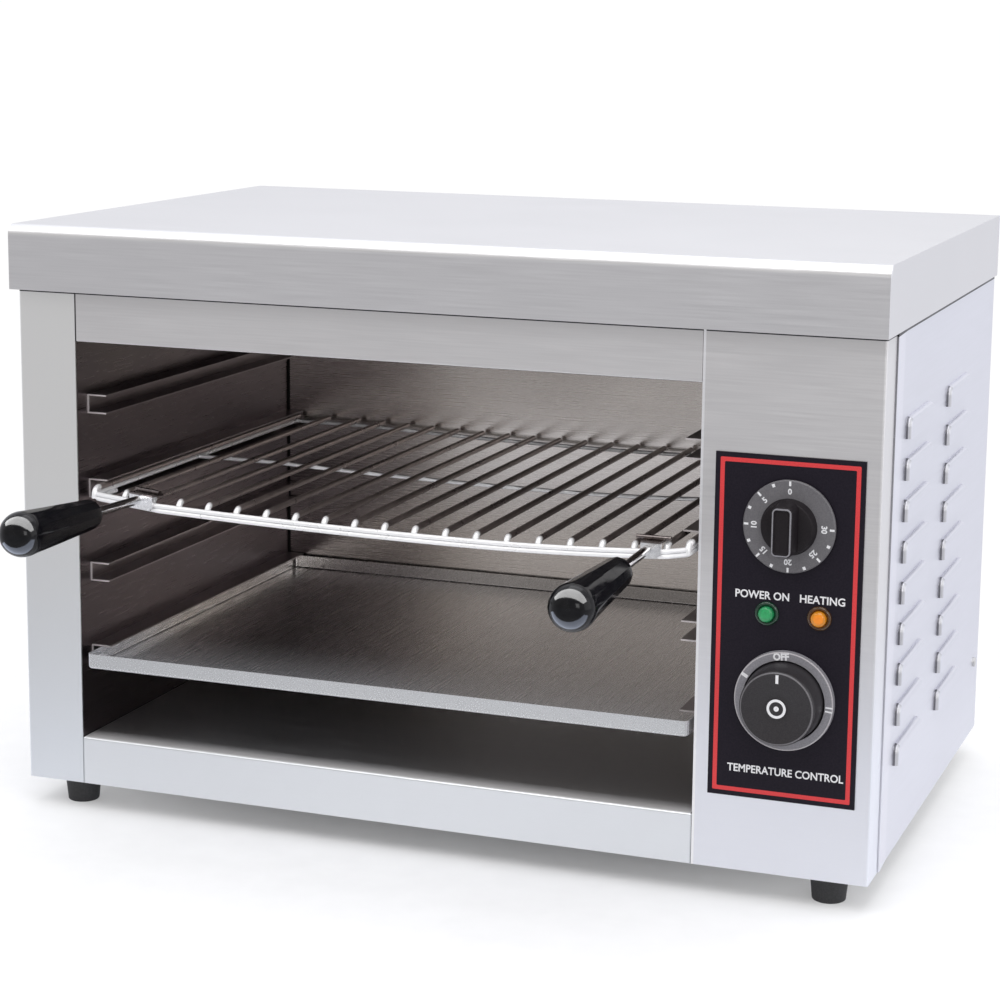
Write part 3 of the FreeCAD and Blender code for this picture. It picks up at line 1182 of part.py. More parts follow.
def wiring_shape():
    bend = size("wire_stretch")
    end_x = size("bay_left") + size("heater_pass")
    front_leg = size("front_heater_place")
    rear_leg = size("rear_heater_place")
    spacing = size("heater_leg_spacing")
    up = size("heater_height")
    knob = size("knob_x")
    stat = size("thermostat_height")
    timer = size("timer_height")
    stat_rear = size("sheet_gauge") + size("thermostat_case_depth")
    timer_rear = size("sheet_gauge") + size("timer_case_depth")
    lamp_rear = size("sheet_gauge") + size("lamp_body_length")
    high = size("wire_run_high")
    side = size("body_width") - size("wire_run_side")
    lane = size("wire_lane")
    block_x = size("bay_left") + (size("bay_width") - size("block_length")) / 2
    block_y = size("block_place") + size("block_depth") / 2
    floor = size("sheet_gauge") + size("block_height") / 2
    above = floor + size("block_height") + bend

    def way(number):
        return block_x + size("block_length") * (number + 0.5) / size("block_ways")

    supply = [Vector(way(0), block_y, floor), Vector(way(0), block_y, up - bend),
              Vector(end_x + bend, rear_leg + spacing, up), Vector(end_x, rear_leg + spacing, up)]
    bridge = [Vector(end_x, rear_leg, up), Vector(end_x + bend, rear_leg, up),
              Vector(end_x + bend, front_leg + spacing, up), Vector(end_x, front_leg + spacing, up)]
    feed_x = knob + size("bushing") / 2
    feed = [Vector(end_x, front_leg, up), Vector(feed_x, front_leg, up), Vector(feed_x, high, up - bend),
            Vector(feed_x, high, stat + lane), Vector(feed_x, stat_rear, stat + lane)]
    link_x = knob - size("bushing") - lane / 2
    link = [Vector(link_x, stat_rear, stat - lane), Vector(link_x, stat_rear + bend, stat - lane),
            Vector(link_x, stat_rear + bend, timer), Vector(link_x, timer_rear, timer)]
    back = [Vector(knob + size("bushing") + lane / 2, timer_rear, timer - lane),
            Vector(knob + size("bushing") + lane / 2, high + lane, timer - lane),
            Vector(side, high + bend + lane, timer - bend), Vector(side, block_y - bend, above),
            Vector(way(4), block_y, above), Vector(way(4), block_y, floor)]
    green = size("bay_left") + size("green_lamp_place")
    orange = size("bay_left") + size("orange_lamp_place")
    lamp_up = size("lamp_height") + size("lamp_body") / 4
    loop = [Vector(green, lamp_rear, lamp_up), Vector(green, lamp_rear + bend, lamp_up),
            Vector(orange, lamp_rear + bend, lamp_up), Vector(orange, lamp_rear, lamp_up)]
    lamp_low = size("lamp_height") - size("lamp_body") / 4
    neutral = [Vector(orange, lamp_rear, lamp_low), Vector(orange, high + lane, lamp_low),
               Vector(side - lane, high + bend + lane, lamp_low - bend),
               Vector(side - lane, block_y - bend, above - lane),
               Vector(way(3), block_y, above - lane), Vector(way(3), block_y, floor)]
    return Part.makeCompound([lead(points) for points in (supply, bridge, feed, link, back, loop, neutral)])


wiring = free_shape("internal_wiring", wiring_shape())
place(wiring)

# Cable gland through the rear panel, clamped by a nut inside; its bore takes the supply cord
gland_parts = [
    shift(cylinder_item("gland_neck", "gland_body", "gland_inside + sheet_gauge + gland_collar"),
          z="0 - gland_inside - sheet_gauge"),
    cylinder_item("gland_collar_disc", "gland_flange", "gland_collar"),
    cylinder_item("gland_nose_disc", "gland_nose", "gland_reach")]
gland_hole = shift(cylinder_item("gland_hole", "gland_bore", "gland_inside + sheet_gauge + gland_reach"),
                   z="0 - gland_inside - sheet_gauge")
gland = without("cable_gland", joined("gland_solid", gland_parts), [gland_hole])
place(gland, x="gland_x", y="body_depth", z="gland_height", turn=FACING_REAR)

gland_nut = without("cable_gland_nut", cylinder_item("gland_nut_disc", "gland_nut", "gland_nut_height"),
                    [cylinder_item("gland_nut_hole", "gland_body + 2 * gland_play", "gland_nut_height")])
place(gland_nut, x="gland_x", y="back_plane", z="gland_height", turn=FACING_FRONT)


# Feet: tapered rubber with a moulded-in stud, nutted above the base plate
def foot(label, across, along):
    rubber = new_body(label)
    revolve(rubber, [("foot_stud / 2", "0 - foot_stud_depth"), ("0", "0 - foot_stud_depth"),
                     ("0", "0 - foot_height"), ("foot_bottom / 2", "0 - foot_height"),
                     ("foot_top / 2", "0"), ("foot_stud / 2", "0")])
    round_edges(rubber, "foot_rounding", lambda edge: lies(edge, z=-size("foot_height")))
    place(rubber, x=across, y=along)


FOOT_PLACES = [("front_left_foot", "foot_inset_x", "foot_inset_y"),
               ("front_right_foot", "foot_right", "foot_inset_y"),
               ("rear_left_foot", "foot_inset_x", "foot_rear"),
               ("rear_right_foot", "foot_right", "foot_rear")]
studs = []
nuts = []
for label, across, along in FOOT_PLACES:
    foot(label, across, along)
    stud = cylinder_item(label + "_stud", "foot_stud", "foot_stud_depth + foot_stud_rise")
    studs.append(shift(stud, x=across, y=along, z="0 - foot_stud_depth"))
    nut = doc.addObject("Part::Prism", label + "_nut")
    nut.Polygon = 6
    nut.setExpression("Circumradius", formula("foot_nut / 2 / cos(30 deg)"))
    nut.setExpression("Height", formula("foot_nut_height"))
    hole = cylinder_item(label + "_nut_hole", "foot_stud + 2 * spindle_play", "foot_nut_height")
    nuts.append(shift(without(label + "_nut_ring", nut, [hole]), x=across, y=along))
foot_studs = doc.addObject("Part::Compound", "foot_studs")
foot_studs.Label = "foot_studs"
foot_studs.Links = studs
place(foot_studs)
foot_nuts = doc.addObject("Part::Compound", "foot_nuts")
foot_nuts.Label = "foot_nuts"
foot_nuts.Links = nuts
place(foot_nuts, z="sheet_gauge")


# Case screws: pan heads seated on the sheet, grouped by the panel that they hold
def pan_screw(label, x, y, z, turn):
    head = cylinder_item(label + "_head", "screw_head", "screw_head_height")
    stem = shift(cylinder_item(label + "_stem", "screw_thread", "screw_length + screw_head_height"),
                 z="0 - screw_length")
    screw = joined(label, [head, stem])
    return shift(screw, x=x, y=y, z=z, turn=turn)


def screw_group(label, screws):
    group = doc.addObject("Part::Compound", label)
    group.Label = label
    group.Links = screws
    place(group)


screw_group("side_panel_screws", [
    pan_screw("left_side_screw", "0", "body_depth - side_screw_inset", "side_screw_height", FACING_LEFT),
    pan_screw("right_side_screw", "body_width", "body_depth - side_screw_inset", "side_screw_height",
              FACING_RIGHT)])
screw_group("back_panel_screws", [
    pan_screw("back_screw_%d%d" % (i, j), across, "body_depth", up, FACING_REAR)
    for i, across in enumerate(("body_width - sheet_gauge - screw_inset", "sheet_gauge + screw_inset"))
    for j, up in enumerate(("screw_inset", "panel_top - screw_top_inset"))])


def write_parts():
    """Check every object and every node, then write one file per node."""
    doc.recompute()
    faults = [item.Name for item in doc.Objects if "Invalid" in item.State or "Error" in item.State]
    if faults:
        raise RuntimeError("objects that failed: " + ", ".join(faults))
    for node in NODES:
        shape = node.Shape
        if shape.isNull() or not shape.isValid() or not shape.Solids:
            raise RuntimeError("no valid solid in " + node.Label)
    os.makedirs("parts", exist_ok=True)
    whole = FreeCAD.BoundBox()
    for node in NODES:
        node.Shape.exportStep("parts/%s.step" % node.Label)
        box = node.Shape.BoundBox
        whole.add(box)
        print("%-24s solids %2d  x %7.1f %7.1f  y %7.1f %7.1f  z %6.1f %6.1f  volume %10.1f" % (
            node.Label, len(node.Shape.Solids), box.XMin, box.XMax, box.YMin, box.YMax,
            box.ZMin, box.ZMax, node.Shape.Volume))
    print("nodes", len(NODES), "overall x %.2f %.2f y %.2f %.2f z %.2f %.2f" % (
        whole.XMin, whole.XMax, whole.YMin, whole.YMax, whole.ZMin, whole.ZMax))


write_parts()
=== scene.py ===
# %% [markdown]
# # Dressing a countertop electric grill
# The solids of this grill come from its construction model and stand in the scene as a fixed frame.
# In this lesson they get their finishes: satin steel outside, heat-stained steel in the cavity, bright
# wire, gloss black grips, printed plastic. Some small parts get a finer shape in mesh code.
# Everything is in metres: +X is to the right, +Y to the rear and +Z is up.

# %% Load the frame
import math

import bmesh
import bpy
from mathutils import Matrix, Vector
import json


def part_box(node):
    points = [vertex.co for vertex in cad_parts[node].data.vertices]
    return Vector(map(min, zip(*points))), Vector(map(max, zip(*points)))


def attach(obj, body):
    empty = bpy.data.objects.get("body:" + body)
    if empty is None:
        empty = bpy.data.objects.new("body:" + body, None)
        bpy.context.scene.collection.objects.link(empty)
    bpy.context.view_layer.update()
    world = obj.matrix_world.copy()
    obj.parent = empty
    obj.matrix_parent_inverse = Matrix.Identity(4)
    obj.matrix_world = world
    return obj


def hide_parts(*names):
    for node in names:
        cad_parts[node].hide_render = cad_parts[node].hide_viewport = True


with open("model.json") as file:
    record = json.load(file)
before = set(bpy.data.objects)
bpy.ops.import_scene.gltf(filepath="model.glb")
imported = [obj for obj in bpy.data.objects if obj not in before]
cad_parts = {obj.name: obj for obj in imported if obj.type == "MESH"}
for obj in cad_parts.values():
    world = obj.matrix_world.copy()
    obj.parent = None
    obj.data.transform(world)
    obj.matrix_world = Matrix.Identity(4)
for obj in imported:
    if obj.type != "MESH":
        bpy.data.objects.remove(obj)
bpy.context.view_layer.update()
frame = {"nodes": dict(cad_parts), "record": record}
slot_of = {part["node"]: part["material_slot"] for part in frame["record"]["subparts"]}

# %% [markdown]
# ## The camera
# A product picture is taken with a long lens from a little above and to the right. The place and the
# turns of this camera were found by fitting the edges of the case to the picture, so they are kept as
# plain values. The small shift stands for a picture that was cropped after it was taken.

# %% Set up the camera
CAMERA_PLACE = Vector((0.61023, -1.61869, 0.57575))
CAMERA_TURN_LEFT = math.radians(20.18)
CAMERA_TILT_DOWN = math.radians(10.23)
CAMERA_ROLL = math.radians(0.64)
CAMERA_LENS = 90.02
CAMERA_SENSOR = 36
CAMERA_SHIFT = (-0.00957, -0.05379)

ahead = Vector((-math.sin(CAMERA_TURN_LEFT) * math.cos(CAMERA_TILT_DOWN),
                math.cos(CAMERA_TURN_LEFT) * math.cos(CAMERA_TILT_DOWN),
                -math.sin(CAMERA_TILT_DOWN)))
level = Vector((math.cos(CAMERA_TURN_LEFT), math.sin(CAMERA_TURN_LEFT), 0))
across = level * math.cos(CAMERA_ROLL) + level.cross(ahead) * math.sin(CAMERA_ROLL)
upwards = across.cross(ahead)
camera_data = bpy.data.cameras.new("picture_camera")
camera_data.lens = CAMERA_LENS
camera_data.sensor_width = CAMERA_SENSOR
camera_data.shift_x, camera_data.shift_y = CAMERA_SHIFT
camera = bpy.data.objects.new("picture_camera", camera_data)
camera_turn = Matrix((across, upwards, -ahead)).transposed().to_4x4()
camera.matrix_world = Matrix.Translation(CAMERA_PLACE) @ camera_turn
bpy.context.scene.collection.objects.link(camera)
bpy.context.scene.camera = camera
print("camera at", tuple(round(c, 3) for c in CAMERA_PLACE))

# %% [markdown]
# ## Helpers for nodes
# The room, the floor and every finish are small networks of nodes. These helpers make one node with its
# values, mix two colours and do a step of arithmetic. Each takes either the output of another node or a
# plain value, so a network reads like a sum.


# %% Node helpers
def node(tree, kind, values=None, **settings):
    """One shader node with its socket values and its settings."""
    made = tree.nodes.new("ShaderNode" + kind)
    for socket, value in (values or {}).items():
        made.inputs[socket].default_value = value
    for name, value in settings.items():
        setattr(made, name, value)
    return made


def supply(tree, target, source):
    """Links a node's output to an input, or sets the input to a plain value."""
    if isinstance(source, bpy.types.NodeSocket):
        tree.links.new(source, target)
    else:
        target.default_value = source


def mixed(tree, first, second, share):
    """Two colours mixed by a share."""
    blend = node(tree, "Mix", data_type="RGBA")
    for place, source in ((6, first), (7, second), (0, share)):
        supply(tree, blend.inputs[place], source)
    return blend.outputs[2]


def sums(tree, operation, first, second):
    """One step of arithmetic."""
    step = node(tree, "Math", operation=operation)
    for place, source in enumerate((first, second)):
        supply(tree, step.inputs[place], source)
    return step.outputs["Value"]


print("node, mix and arithmetic")

# %% [markdown]
# Noise gives a number between 0 and 1 at each point, mostly near the middle. One helper turns it into a
# colour between two tones, the other into a range of numbers, such as a roughness.


# %% Tones and ranges
def two_tones(tree, value, dark, light, start=0.3):
    """A colour between two tones, over the middle range of a value."""
    ramp = node(tree, "ValToRGB")
    for element, position, tone in zip(ramp.color_ramp.elements, (start, 1 - start), (dark, light)):
        element.position = position
        element.color = (*tone, 1)
    tree.links.new(value, ramp.inputs["Fac"])
    return ramp.outputs["Color"]


def spread(tree, value, low, high, start=0.3, end=0.7, manner="LINEAR"):
    """A stretch of a value's range mapped to a range of numbers."""
    mapped = node(tree, "MapRange", {"From Min": start, "From Max": end, "To Min": low, "To Max": high},
                  interpolation_type=manner)
    tree.links.new(value, mapped.inputs["Value"])
    return mapped.outputs["Result"]


print("tones and ranges")

# %% [markdown]
# ## The room
# Steel shows the room around it more than its own colour. This room is white behind, overhead and below,
# as over a paper sweep, and grey in front above the table, where the picture taker stands. So the top and
# the right side come out near white and the front a calm grey. The looking direction picks the tone, and
# what the camera sees behind the grill is plain white.

# %% Build the room
ROOM_WHITE = (0.90, 0.91, 0.95)
ROOM_FRONT = (0.505, 0.490, 0.478)
TABLE_FRONT = (0.58, 0.585, 0.61)
TABLE_BACK = (0.90, 0.91, 0.96)
BACKDROP_WHITE = (1.0, 1.0, 1.0, 1)
BACKDROP_STRENGTH = 1.02
room = bpy.data.worlds.new("studio_air")
room.use_nodes = True
air = room.node_tree
direction = node(air, "TexCoord")
looking = node(air, "SeparateXYZ")
air.links.new(direction.outputs["Generated"], looking.inputs["Vector"])
front_to_back = spread(air, looking.outputs["Y"], 0.0, 1.0, -0.8, 0.15, "SMOOTHSTEP")
down_to_table = spread(air, looking.outputs["Z"], 0.0, 1.0, 0.02, -0.16, "SMOOTHSTEP")
walls = two_tones(air, front_to_back, ROOM_FRONT, ROOM_WHITE, 0)
table = two_tones(air, front_to_back, TABLE_FRONT, TABLE_BACK, 0)
air.links.new(mixed(air, walls, table, down_to_table), air.nodes["Background"].inputs["Color"])
backdrop = node(air, "Background", {"Color": BACKDROP_WHITE, "Strength": BACKDROP_STRENGTH})
ray = node(air, "LightPath")
either = node(air, "MixShader")
air.links.new(ray.outputs["Is Camera Ray"], either.inputs[0])
air.links.new(air.nodes["Background"].outputs[0], either.inputs[1])
air.links.new(backdrop.outputs[0], either.inputs[2])
air.links.new(either.outputs[0], air.nodes["World Output"].inputs["Surface"])
bpy.context.scene.world = room
bpy.context.scene.view_settings.view_transform = "Standard"
print("room", room.name)

# %% [markdown]
# ## Soft panels
# A photographer hangs wide diffusers, since a small lamp would show as a hard spot in steel. The panels
# below do the same: a large one overhead, one to the right, a long one in front of the cavity's mouth
# and a small one low in front.


# %% Hang the panels
def soft_panel(name, place, target, width, height, watts):
    """A rectangular area light that faces a target."""
    data = bpy.data.lights.new(name, "AREA")
    data.shape = "RECTANGLE"
    data.size = width
    data.size_y = height
    data.energy = watts
    panel = bpy.data.objects.new(name, data)
    facing = (Vector(target) - Vector(place)).to_track_quat("-Z", "Y").to_matrix().to_4x4()
    panel.matrix_world = Matrix.Translation(place) @ facing
    bpy.context.scene.collection.objects.link(panel)
    return panel


# Each panel: name, place, what it faces, width, height, watts.
PANELS = (("overhead_panel", (0.2, 0.1, 2.4), (0, 0.1, 0), 2.6, 1.8, 26),
          ("right_panel", (2.6, -0.1, 1.0), (0.2, 0, 0.25), 2.0, 2.0, 10),
          ("front_panel", (-0.1, -1.25, 1.75), (-0.1, -0.25, 0.25), 3.0, 0.9, 16),
          ("front_right_panel", (1.5, -2.3, 0.9), (-0.1, 0, 0.2), 0.8, 0.8, 8))
for panel_facts in PANELS:
    soft_panel(*panel_facts)

# %% [markdown]
# ## The floor
# The floor is a wide round table of paper white. Its outer part fades out, so the picture has no
# horizon: near the feet it takes a soft shadow, and further away it melts into the white room.

# %% Lay the floor
FLOOR_SOLID = 0.12
FLOOR_REACH = 0.75
FLOOR_STEPS = 96
disc = bmesh.new()
bmesh.ops.create_circle(disc, cap_ends=True, segments=FLOOR_STEPS, radius=FLOOR_REACH)
floor_mesh = bpy.data.meshes.new("floor")
disc.to_mesh(floor_mesh)
disc.free()
floor = bpy.data.objects.new("floor", floor_mesh)
bpy.context.scene.collection.objects.link(floor)
print("floor reach", FLOOR_REACH)

# %% [markdown]
# ## Helpers for finishes
# Every finish below starts from a pattern that lies in the piece's own coordinates, so it moves with
# the piece and has its true scale. One helper gives stretched noise, such as the grain that rolling
# leaves in a sheet. The others give one coordinate of a point, fill in the shader, and turn noise into
# small bumps. A value that is the same everywhere is set straight on the shader.

# %% Finish helpers
MM = 0.001
EVEN = (1, 1, 1)


def new_finish(name):
    """A node material with its tree and its main shader."""
    material = bpy.data.materials.new(name)
    material.use_nodes = True
    tree = material.node_tree
    return material, tree, tree.nodes["Principled BSDF"]


def noise(tree, stretch, size, detail=3.0):
    """Noise in the piece's coordinates; a small stretch value draws the pattern out along that axis."""
    spot = node(tree, "TexCoord")
    drawn = node(tree, "Mapping", {"Scale": stretch})
    cloud = node(tree, "TexNoise", {"Scale": size, "Detail": detail})
    tree.links.new(spot.outputs["Object"], drawn.inputs["Vector"])
    tree.links.new(drawn.outputs["Vector"], cloud.inputs["Vector"])
    return cloud.outputs["Fac"]


def coordinate(tree, axis):
    """One of a point's coordinates in its piece."""
    spot = node(tree, "TexCoord")
    parts = node(tree, "SeparateXYZ")
    tree.links.new(spot.outputs["Object"], parts.inputs["Vector"])
    return parts.outputs[axis]


def feed(tree, shader, sources):
    """The shader's inputs by name."""
    for name, source in sources.items():
        supply(tree, shader.inputs[name], source)


def bumps(tree, shader, value, height, strength):
    """Small relief from a value; height is the real height in metres."""
    relief = node(tree, "Bump", {"Strength": strength, "Distance": height})
    tree.links.new(value, relief.inputs["Height"])
    tree.links.new(relief.outputs["Normal"], shader.inputs["Normal"])


def scaled(tone, share):
    """A tone made darker by a share."""
    return tuple(share * c for c in tone)


print("finish helpers ready")

# %% [markdown]
# ## Stainless sheet
# The case is satin stainless steel. Two things make it read as metal: the grain, thousands of fine
# lines along the rolling direction, and a slow change of tone over the sheets. Both only move the
# colour by a few percent. The lid and the sides get cooler, bluer tones than the front, and the lid a
# little darker: painted light, for the bluish sky that these faces mirror. The sides' grain is turned by
# a quarter, since it runs from front to rear. The tray has been wiped so often that its grain is almost
# gone.


# %% Satin steel
def satin_steel(name, stretch, bright, dull, roughness, change=0.055, relief=0.35):
    """Brushed sheet: fine grain in tone, gloss and relief over slow clouds."""
    material, tree, shader = new_finish(name)
    grain = noise(tree, stretch, 900, 2.0)
    clouds = noise(tree, EVEN, 5, 2.0)
    fine = two_tones(tree, grain, dull, bright, 0.35)
    slow = two_tones(tree, clouds, scaled(bright, 0.94), bright)
    feed(tree, shader, {"Base Color": mixed(tree, fine, slow, 0.5), "Metallic": 1.0,
                        "Roughness": spread(tree, grain, roughness - change, roughness + change)})
    bumps(tree, shader, grain, 0.02 * MM, relief)
    return material


WIDTHWISE = (0.02, 1, 1)
DEPTHWISE = (1, 0.02, 1)
case_steel = satin_steel("satin_steel", WIDTHWISE, (0.79, 0.78, 0.785), (0.72, 0.71, 0.715), 0.40)
# Painted light: the lid and the sides get cooler, bluer tones than the front, for the sky these faces
# mirror.
lid_steel = satin_steel("satin_steel_lid", WIDTHWISE, (0.74, 0.735, 0.75), (0.68, 0.675, 0.69), 0.40)
side_steel = satin_steel("satin_steel_sides", DEPTHWISE, (0.765, 0.77, 0.83), (0.705, 0.71, 0.77), 0.42)
mill_steel = satin_steel("mill_steel", WIDTHWISE, (0.55, 0.55, 0.55), (0.45, 0.45, 0.45), 0.5)
tray_steel = satin_steel("tray_steel", DEPTHWISE, (0.64, 0.62, 0.61), (0.625, 0.605, 0.595), 0.27,
                         change=0.008, relief=0.004)
print("steels", case_steel.name, lid_steel.name, side_steel.name, mill_steel.name, tray_steel.name)

# %% [markdown]
# ## Heat-stained liner
# Inside the cavity the sheet has warmed to a brown grey and a little blue near the elements. Here the
# height over the floor chooses the stain, and slow noise breaks its edge, so that it isn't a stripe. The
# rear sheet is the same steel in a far lighter tone: painted light, since it faces the cavity's mouth.

# %% Liner steel
STAIN_START = 0.26
STAIN_FULL = 0.345
STAIN_WANDER = 0.02
FINE_GRAIN = 1500


def liner_steel(name, stretch, warm, grey, roughness):
    """Warmed sheet with a heat stain high up."""
    material, tree, shader = new_finish(name)
    grain = noise(tree, stretch, FINE_GRAIN, 2.0)
    clouds = noise(tree, (1, 1, 1.6), 7)
    height = sums(tree, "ADD", coordinate(tree, "Z"), spread(tree, clouds, -STAIN_WANDER, STAIN_WANDER))
    near_heat = spread(tree, height, 0.0, 0.75, STAIN_START, STAIN_FULL)
    stain = two_tones(tree, clouds, (0.20, 0.19, 0.21), (0.30, 0.27, 0.25))
    feed(tree, shader, {"Base Color": mixed(tree, two_tones(tree, grain, warm, grey), stain, near_heat),
                        "Metallic": 1.0,
                        "Roughness": spread(tree, grain, roughness - 0.04, roughness + 0.06)})
    bumps(tree, shader, grain, 0.01 * MM, 0.2)
    return material


liner = liner_steel("heat_stained_steel", DEPTHWISE, (0.185, 0.150, 0.162), (0.235, 0.195, 0.207), 0.30)
# Painted light: the rear sheet is the liner's steel in a far lighter tone, as it faces the cavity's mouth.
lit_rear_liner = liner_steel("heat_stained_rear_lit", WIDTHWISE, (0.67, 0.62, 0.575), (0.75, 0.70, 0.655), 0.24)
print("liner", liner.name, lit_rear_liner.name)

# %% [markdown]
# The rails are folded from the same warmed sheet. The cut edge at their front end is bare metal, and a
# painted highlight makes it brighter still, so that it shows as a bright outline. The finish below is the
# liner's with a bright millimetre at the front.

# %% Rail steel
RAILS = ["%s_rail_%d" % (side, number) for side in ("left", "right") for number in (1, 2, 3, 4)]
RAIL_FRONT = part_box(RAILS[0])[0].y


def rail_steel(name, dark, light, cut_and_highlight):
    """Warmed sheet whose cut front end is bright: bare metal and a painted highlight."""
    material, tree, shader = new_finish(name)
    grain = noise(tree, DEPTHWISE, FINE_GRAIN, 2.0)
    inside = spread(tree, coordinate(tree, "Y"), 0.0, 1.0, RAIL_FRONT + 0.8 * MM, RAIL_FRONT + 1.4 * MM)
    # The bright front millimetre is a painted highlight on the bare cut edge.
    edge = two_tones(tree, grain, scaled(cut_and_highlight, 0.85), cut_and_highlight)
    feed(tree, shader, {"Base Color": mixed(tree, edge, two_tones(tree, grain, dark, light), inside),
                        "Metallic": spread(tree, inside, 0.35, 1.0, 0.0, 1.0),
                        "Roughness": spread(tree, grain, 0.28, 0.38)})
    bumps(tree, shader, grain, 0.02 * MM, 0.3)
    return material


rail_sheet = rail_steel("rail_steel", (0.27, 0.235, 0.245), (0.34, 0.30, 0.31), (0.62, 0.58, 0.58))
print("rails' bright ends at y", round(RAIL_FRONT, 4))

# %% [markdown]
# ## Bright wire
# The rack is plated wire. Its front and its cross wires are still bright, while the rods have turned
# brown from the heat. The rods lie on the cross wires, and all of them dip towards the middle. So two
# measures pick the colour: how far a point lies behind the front wires, with their slanted corners
# taken off, and how high it lies once the dip is added back.

# %% Where the rack has browned
RACK_LOW, RACK_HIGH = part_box("wire_rack")
ROD = 4.2 * MM
LEFT_CORNER_X = RACK_LOW.x + ROD / 2 + 61.4 * MM
LEFT_CORNER_SLANT = 21.4 / 61.4
RIGHT_CORNER_X = RACK_HIGH.x - ROD / 2 - 11.4 * MM
RIGHT_CORNER_SLANT = 11.0 / 11.4
LOWEST_X = RACK_LOW.x + ROD / 2 + 288.8 * MM
DIP = 4.5 * MM
CROSS_TOP = RACK_HIGH.z - ROD + 0.3 * MM


def past(tree, x, start, rate):
    """How far X lies past a start, times a rate; a negative rate counts to the left."""
    return sums(tree, "MULTIPLY", sums(tree, "SUBTRACT", x, start), rate)


def behind_front(tree, x):
    """0 on the front wires and 1 behind them, along their slanted corners too."""
    corners = sums(tree, "MAXIMUM", past(tree, x, LEFT_CORNER_X, -LEFT_CORNER_SLANT),
                   past(tree, x, RIGHT_CORNER_X, RIGHT_CORNER_SLANT))
    slant = sums(tree, "MAXIMUM", corners, 0.0)
    depth = sums(tree, "SUBTRACT", sums(tree, "SUBTRACT", coordinate(tree, "Y"), RACK_LOW.y), slant)
    return spread(tree, depth, 0.0, 1.0, 7.2 * MM, 9.8 * MM)


def above_cross_wires(tree, x):
    """0 on the cross wires and 1 on the rods over them."""
    aside = sums(tree, "MAXIMUM", past(tree, x, LOWEST_X, 1 / (LEFT_CORNER_X - LOWEST_X)),
                 past(tree, x, LOWEST_X, 1 / (RIGHT_CORNER_X - LOWEST_X)))
    away = sums(tree, "MINIMUM", aside, 1.0)
    dip = sums(tree, "MULTIPLY", sums(tree, "SUBTRACT", 1.0, sums(tree, "POWER", away, 2.0)), DIP)
    return spread(tree, sums(tree, "ADD", coordinate(tree, "Z"), dip), 0.0, 1.0,
                  CROSS_TOP - 0.6 * MM, CROSS_TOP + 0.4 * MM)


print("cross wires end at z", round(CROSS_TOP, 4), "lowest at x", round(LOWEST_X, 4))

# %% [markdown]
# The finish multiplies both measures, so only what is behind the front wires and above the cross wires
# is brown. The rods are paler towards the left: painted light, where their tops catch more light.


# %% Rack wire
def plated_wire(name, roughness):
    """Bright wire whose rods have browned, with painted light making them paler towards the left."""
    material, tree, shader = new_finish(name)
    clouds = noise(tree, EVEN, 60)
    x = coordinate(tree, "X")
    heated = sums(tree, "MULTIPLY", behind_front(tree, x), above_cross_wires(tree, x))
    bright = two_tones(tree, clouds, (0.93, 0.93, 0.94), (0.98, 0.98, 0.99))
    # Painted light: the paler brown that the rods take towards the left.
    lit_paler = two_tones(tree, clouds, (0.34, 0.29, 0.28), (0.46, 0.39, 0.375))
    darker = two_tones(tree, clouds, (0.15, 0.12, 0.115), (0.25, 0.205, 0.195))
    # The rods' brown runs from the painted light on the left to the darker brown on the right.
    browned = mixed(tree, lit_paler, darker, spread(tree, x, 0.0, 1.0, RACK_LOW.x, 0.0))
    feed(tree, shader, {"Base Color": mixed(tree, bright, browned, heated),
                        "Metallic": spread(tree, heated, 0.3, 0.8, 0.0, 1.0),
                        "Roughness": spread(tree, clouds, roughness, roughness + 0.08)})
    bumps(tree, shader, clouds, 0.05 * MM, 0.2)
    return material


rack_wire = plated_wire("rack_wire", 0.26)
print("rack", rack_wire.name)

# %% [markdown]
# ## Plated sheet and fittings
# Hooks, screws, tubes and works have a nearly even plating. The folded top of each hook and the pin on
# it lie over the heat, so they are browner than the plate in front.


# %% Plated fittings
def bright_plate(name, light, dark, roughness):
    """Plated steel: nearly even, with faint clouds from polishing."""
    material, tree, shader = new_finish(name)
    clouds = noise(tree, EVEN, 180)
    feed(tree, shader, {"Base Color": two_tones(tree, clouds, dark, light), "Metallic": 1.0,
                        "Roughness": spread(tree, clouds, roughness, roughness + 0.1)})
    bumps(tree, shader, clouds, 0.04 * MM, 0.25)
    return material


def hook_plate(side):
    """Bright plate whose folded top, from 4 mm under the highest point up, is browned."""
    material, tree, shader = new_finish(side + "_hook_steel")
    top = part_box(side + "_handle_hook")[1].z
    clouds = noise(tree, EVEN, 400)
    heated = spread(tree, coordinate(tree, "Z"), 0.0, 1.0, top - 4.3 * MM, top - 3.6 * MM)
    bright = two_tones(tree, clouds, (0.74, 0.74, 0.75), (0.95, 0.95, 0.96))
    browned = two_tones(tree, clouds, (0.13, 0.11, 0.11), (0.24, 0.21, 0.20))
    feed(tree, shader, {"Base Color": mixed(tree, bright, browned, heated), "Metallic": 1.0,
                        "Roughness": spread(tree, clouds, 0.18, 0.3)})
    bumps(tree, shader, clouds, 0.08 * MM, 0.4)
    return material


left_hook_steel = hook_plate("left")
right_hook_steel = hook_plate("right")
shank_chrome = bright_plate("shank_chrome", (0.9, 0.9, 0.92), (0.82, 0.82, 0.84), 0.07)
zinc = bright_plate("zinc_plate", (0.72, 0.72, 0.70), (0.58, 0.58, 0.57), 0.3)
works_metal = bright_plate("works_metal", (0.62, 0.62, 0.61), (0.5, 0.5, 0.5), 0.35)
copper = bright_plate("drawn_copper", (0.72, 0.42, 0.27), (0.55, 0.3, 0.18), 0.3)
brass = bright_plate("turned_brass", (0.78, 0.6, 0.3), (0.62, 0.46, 0.22), 0.3)
print("plated finishes", 7)

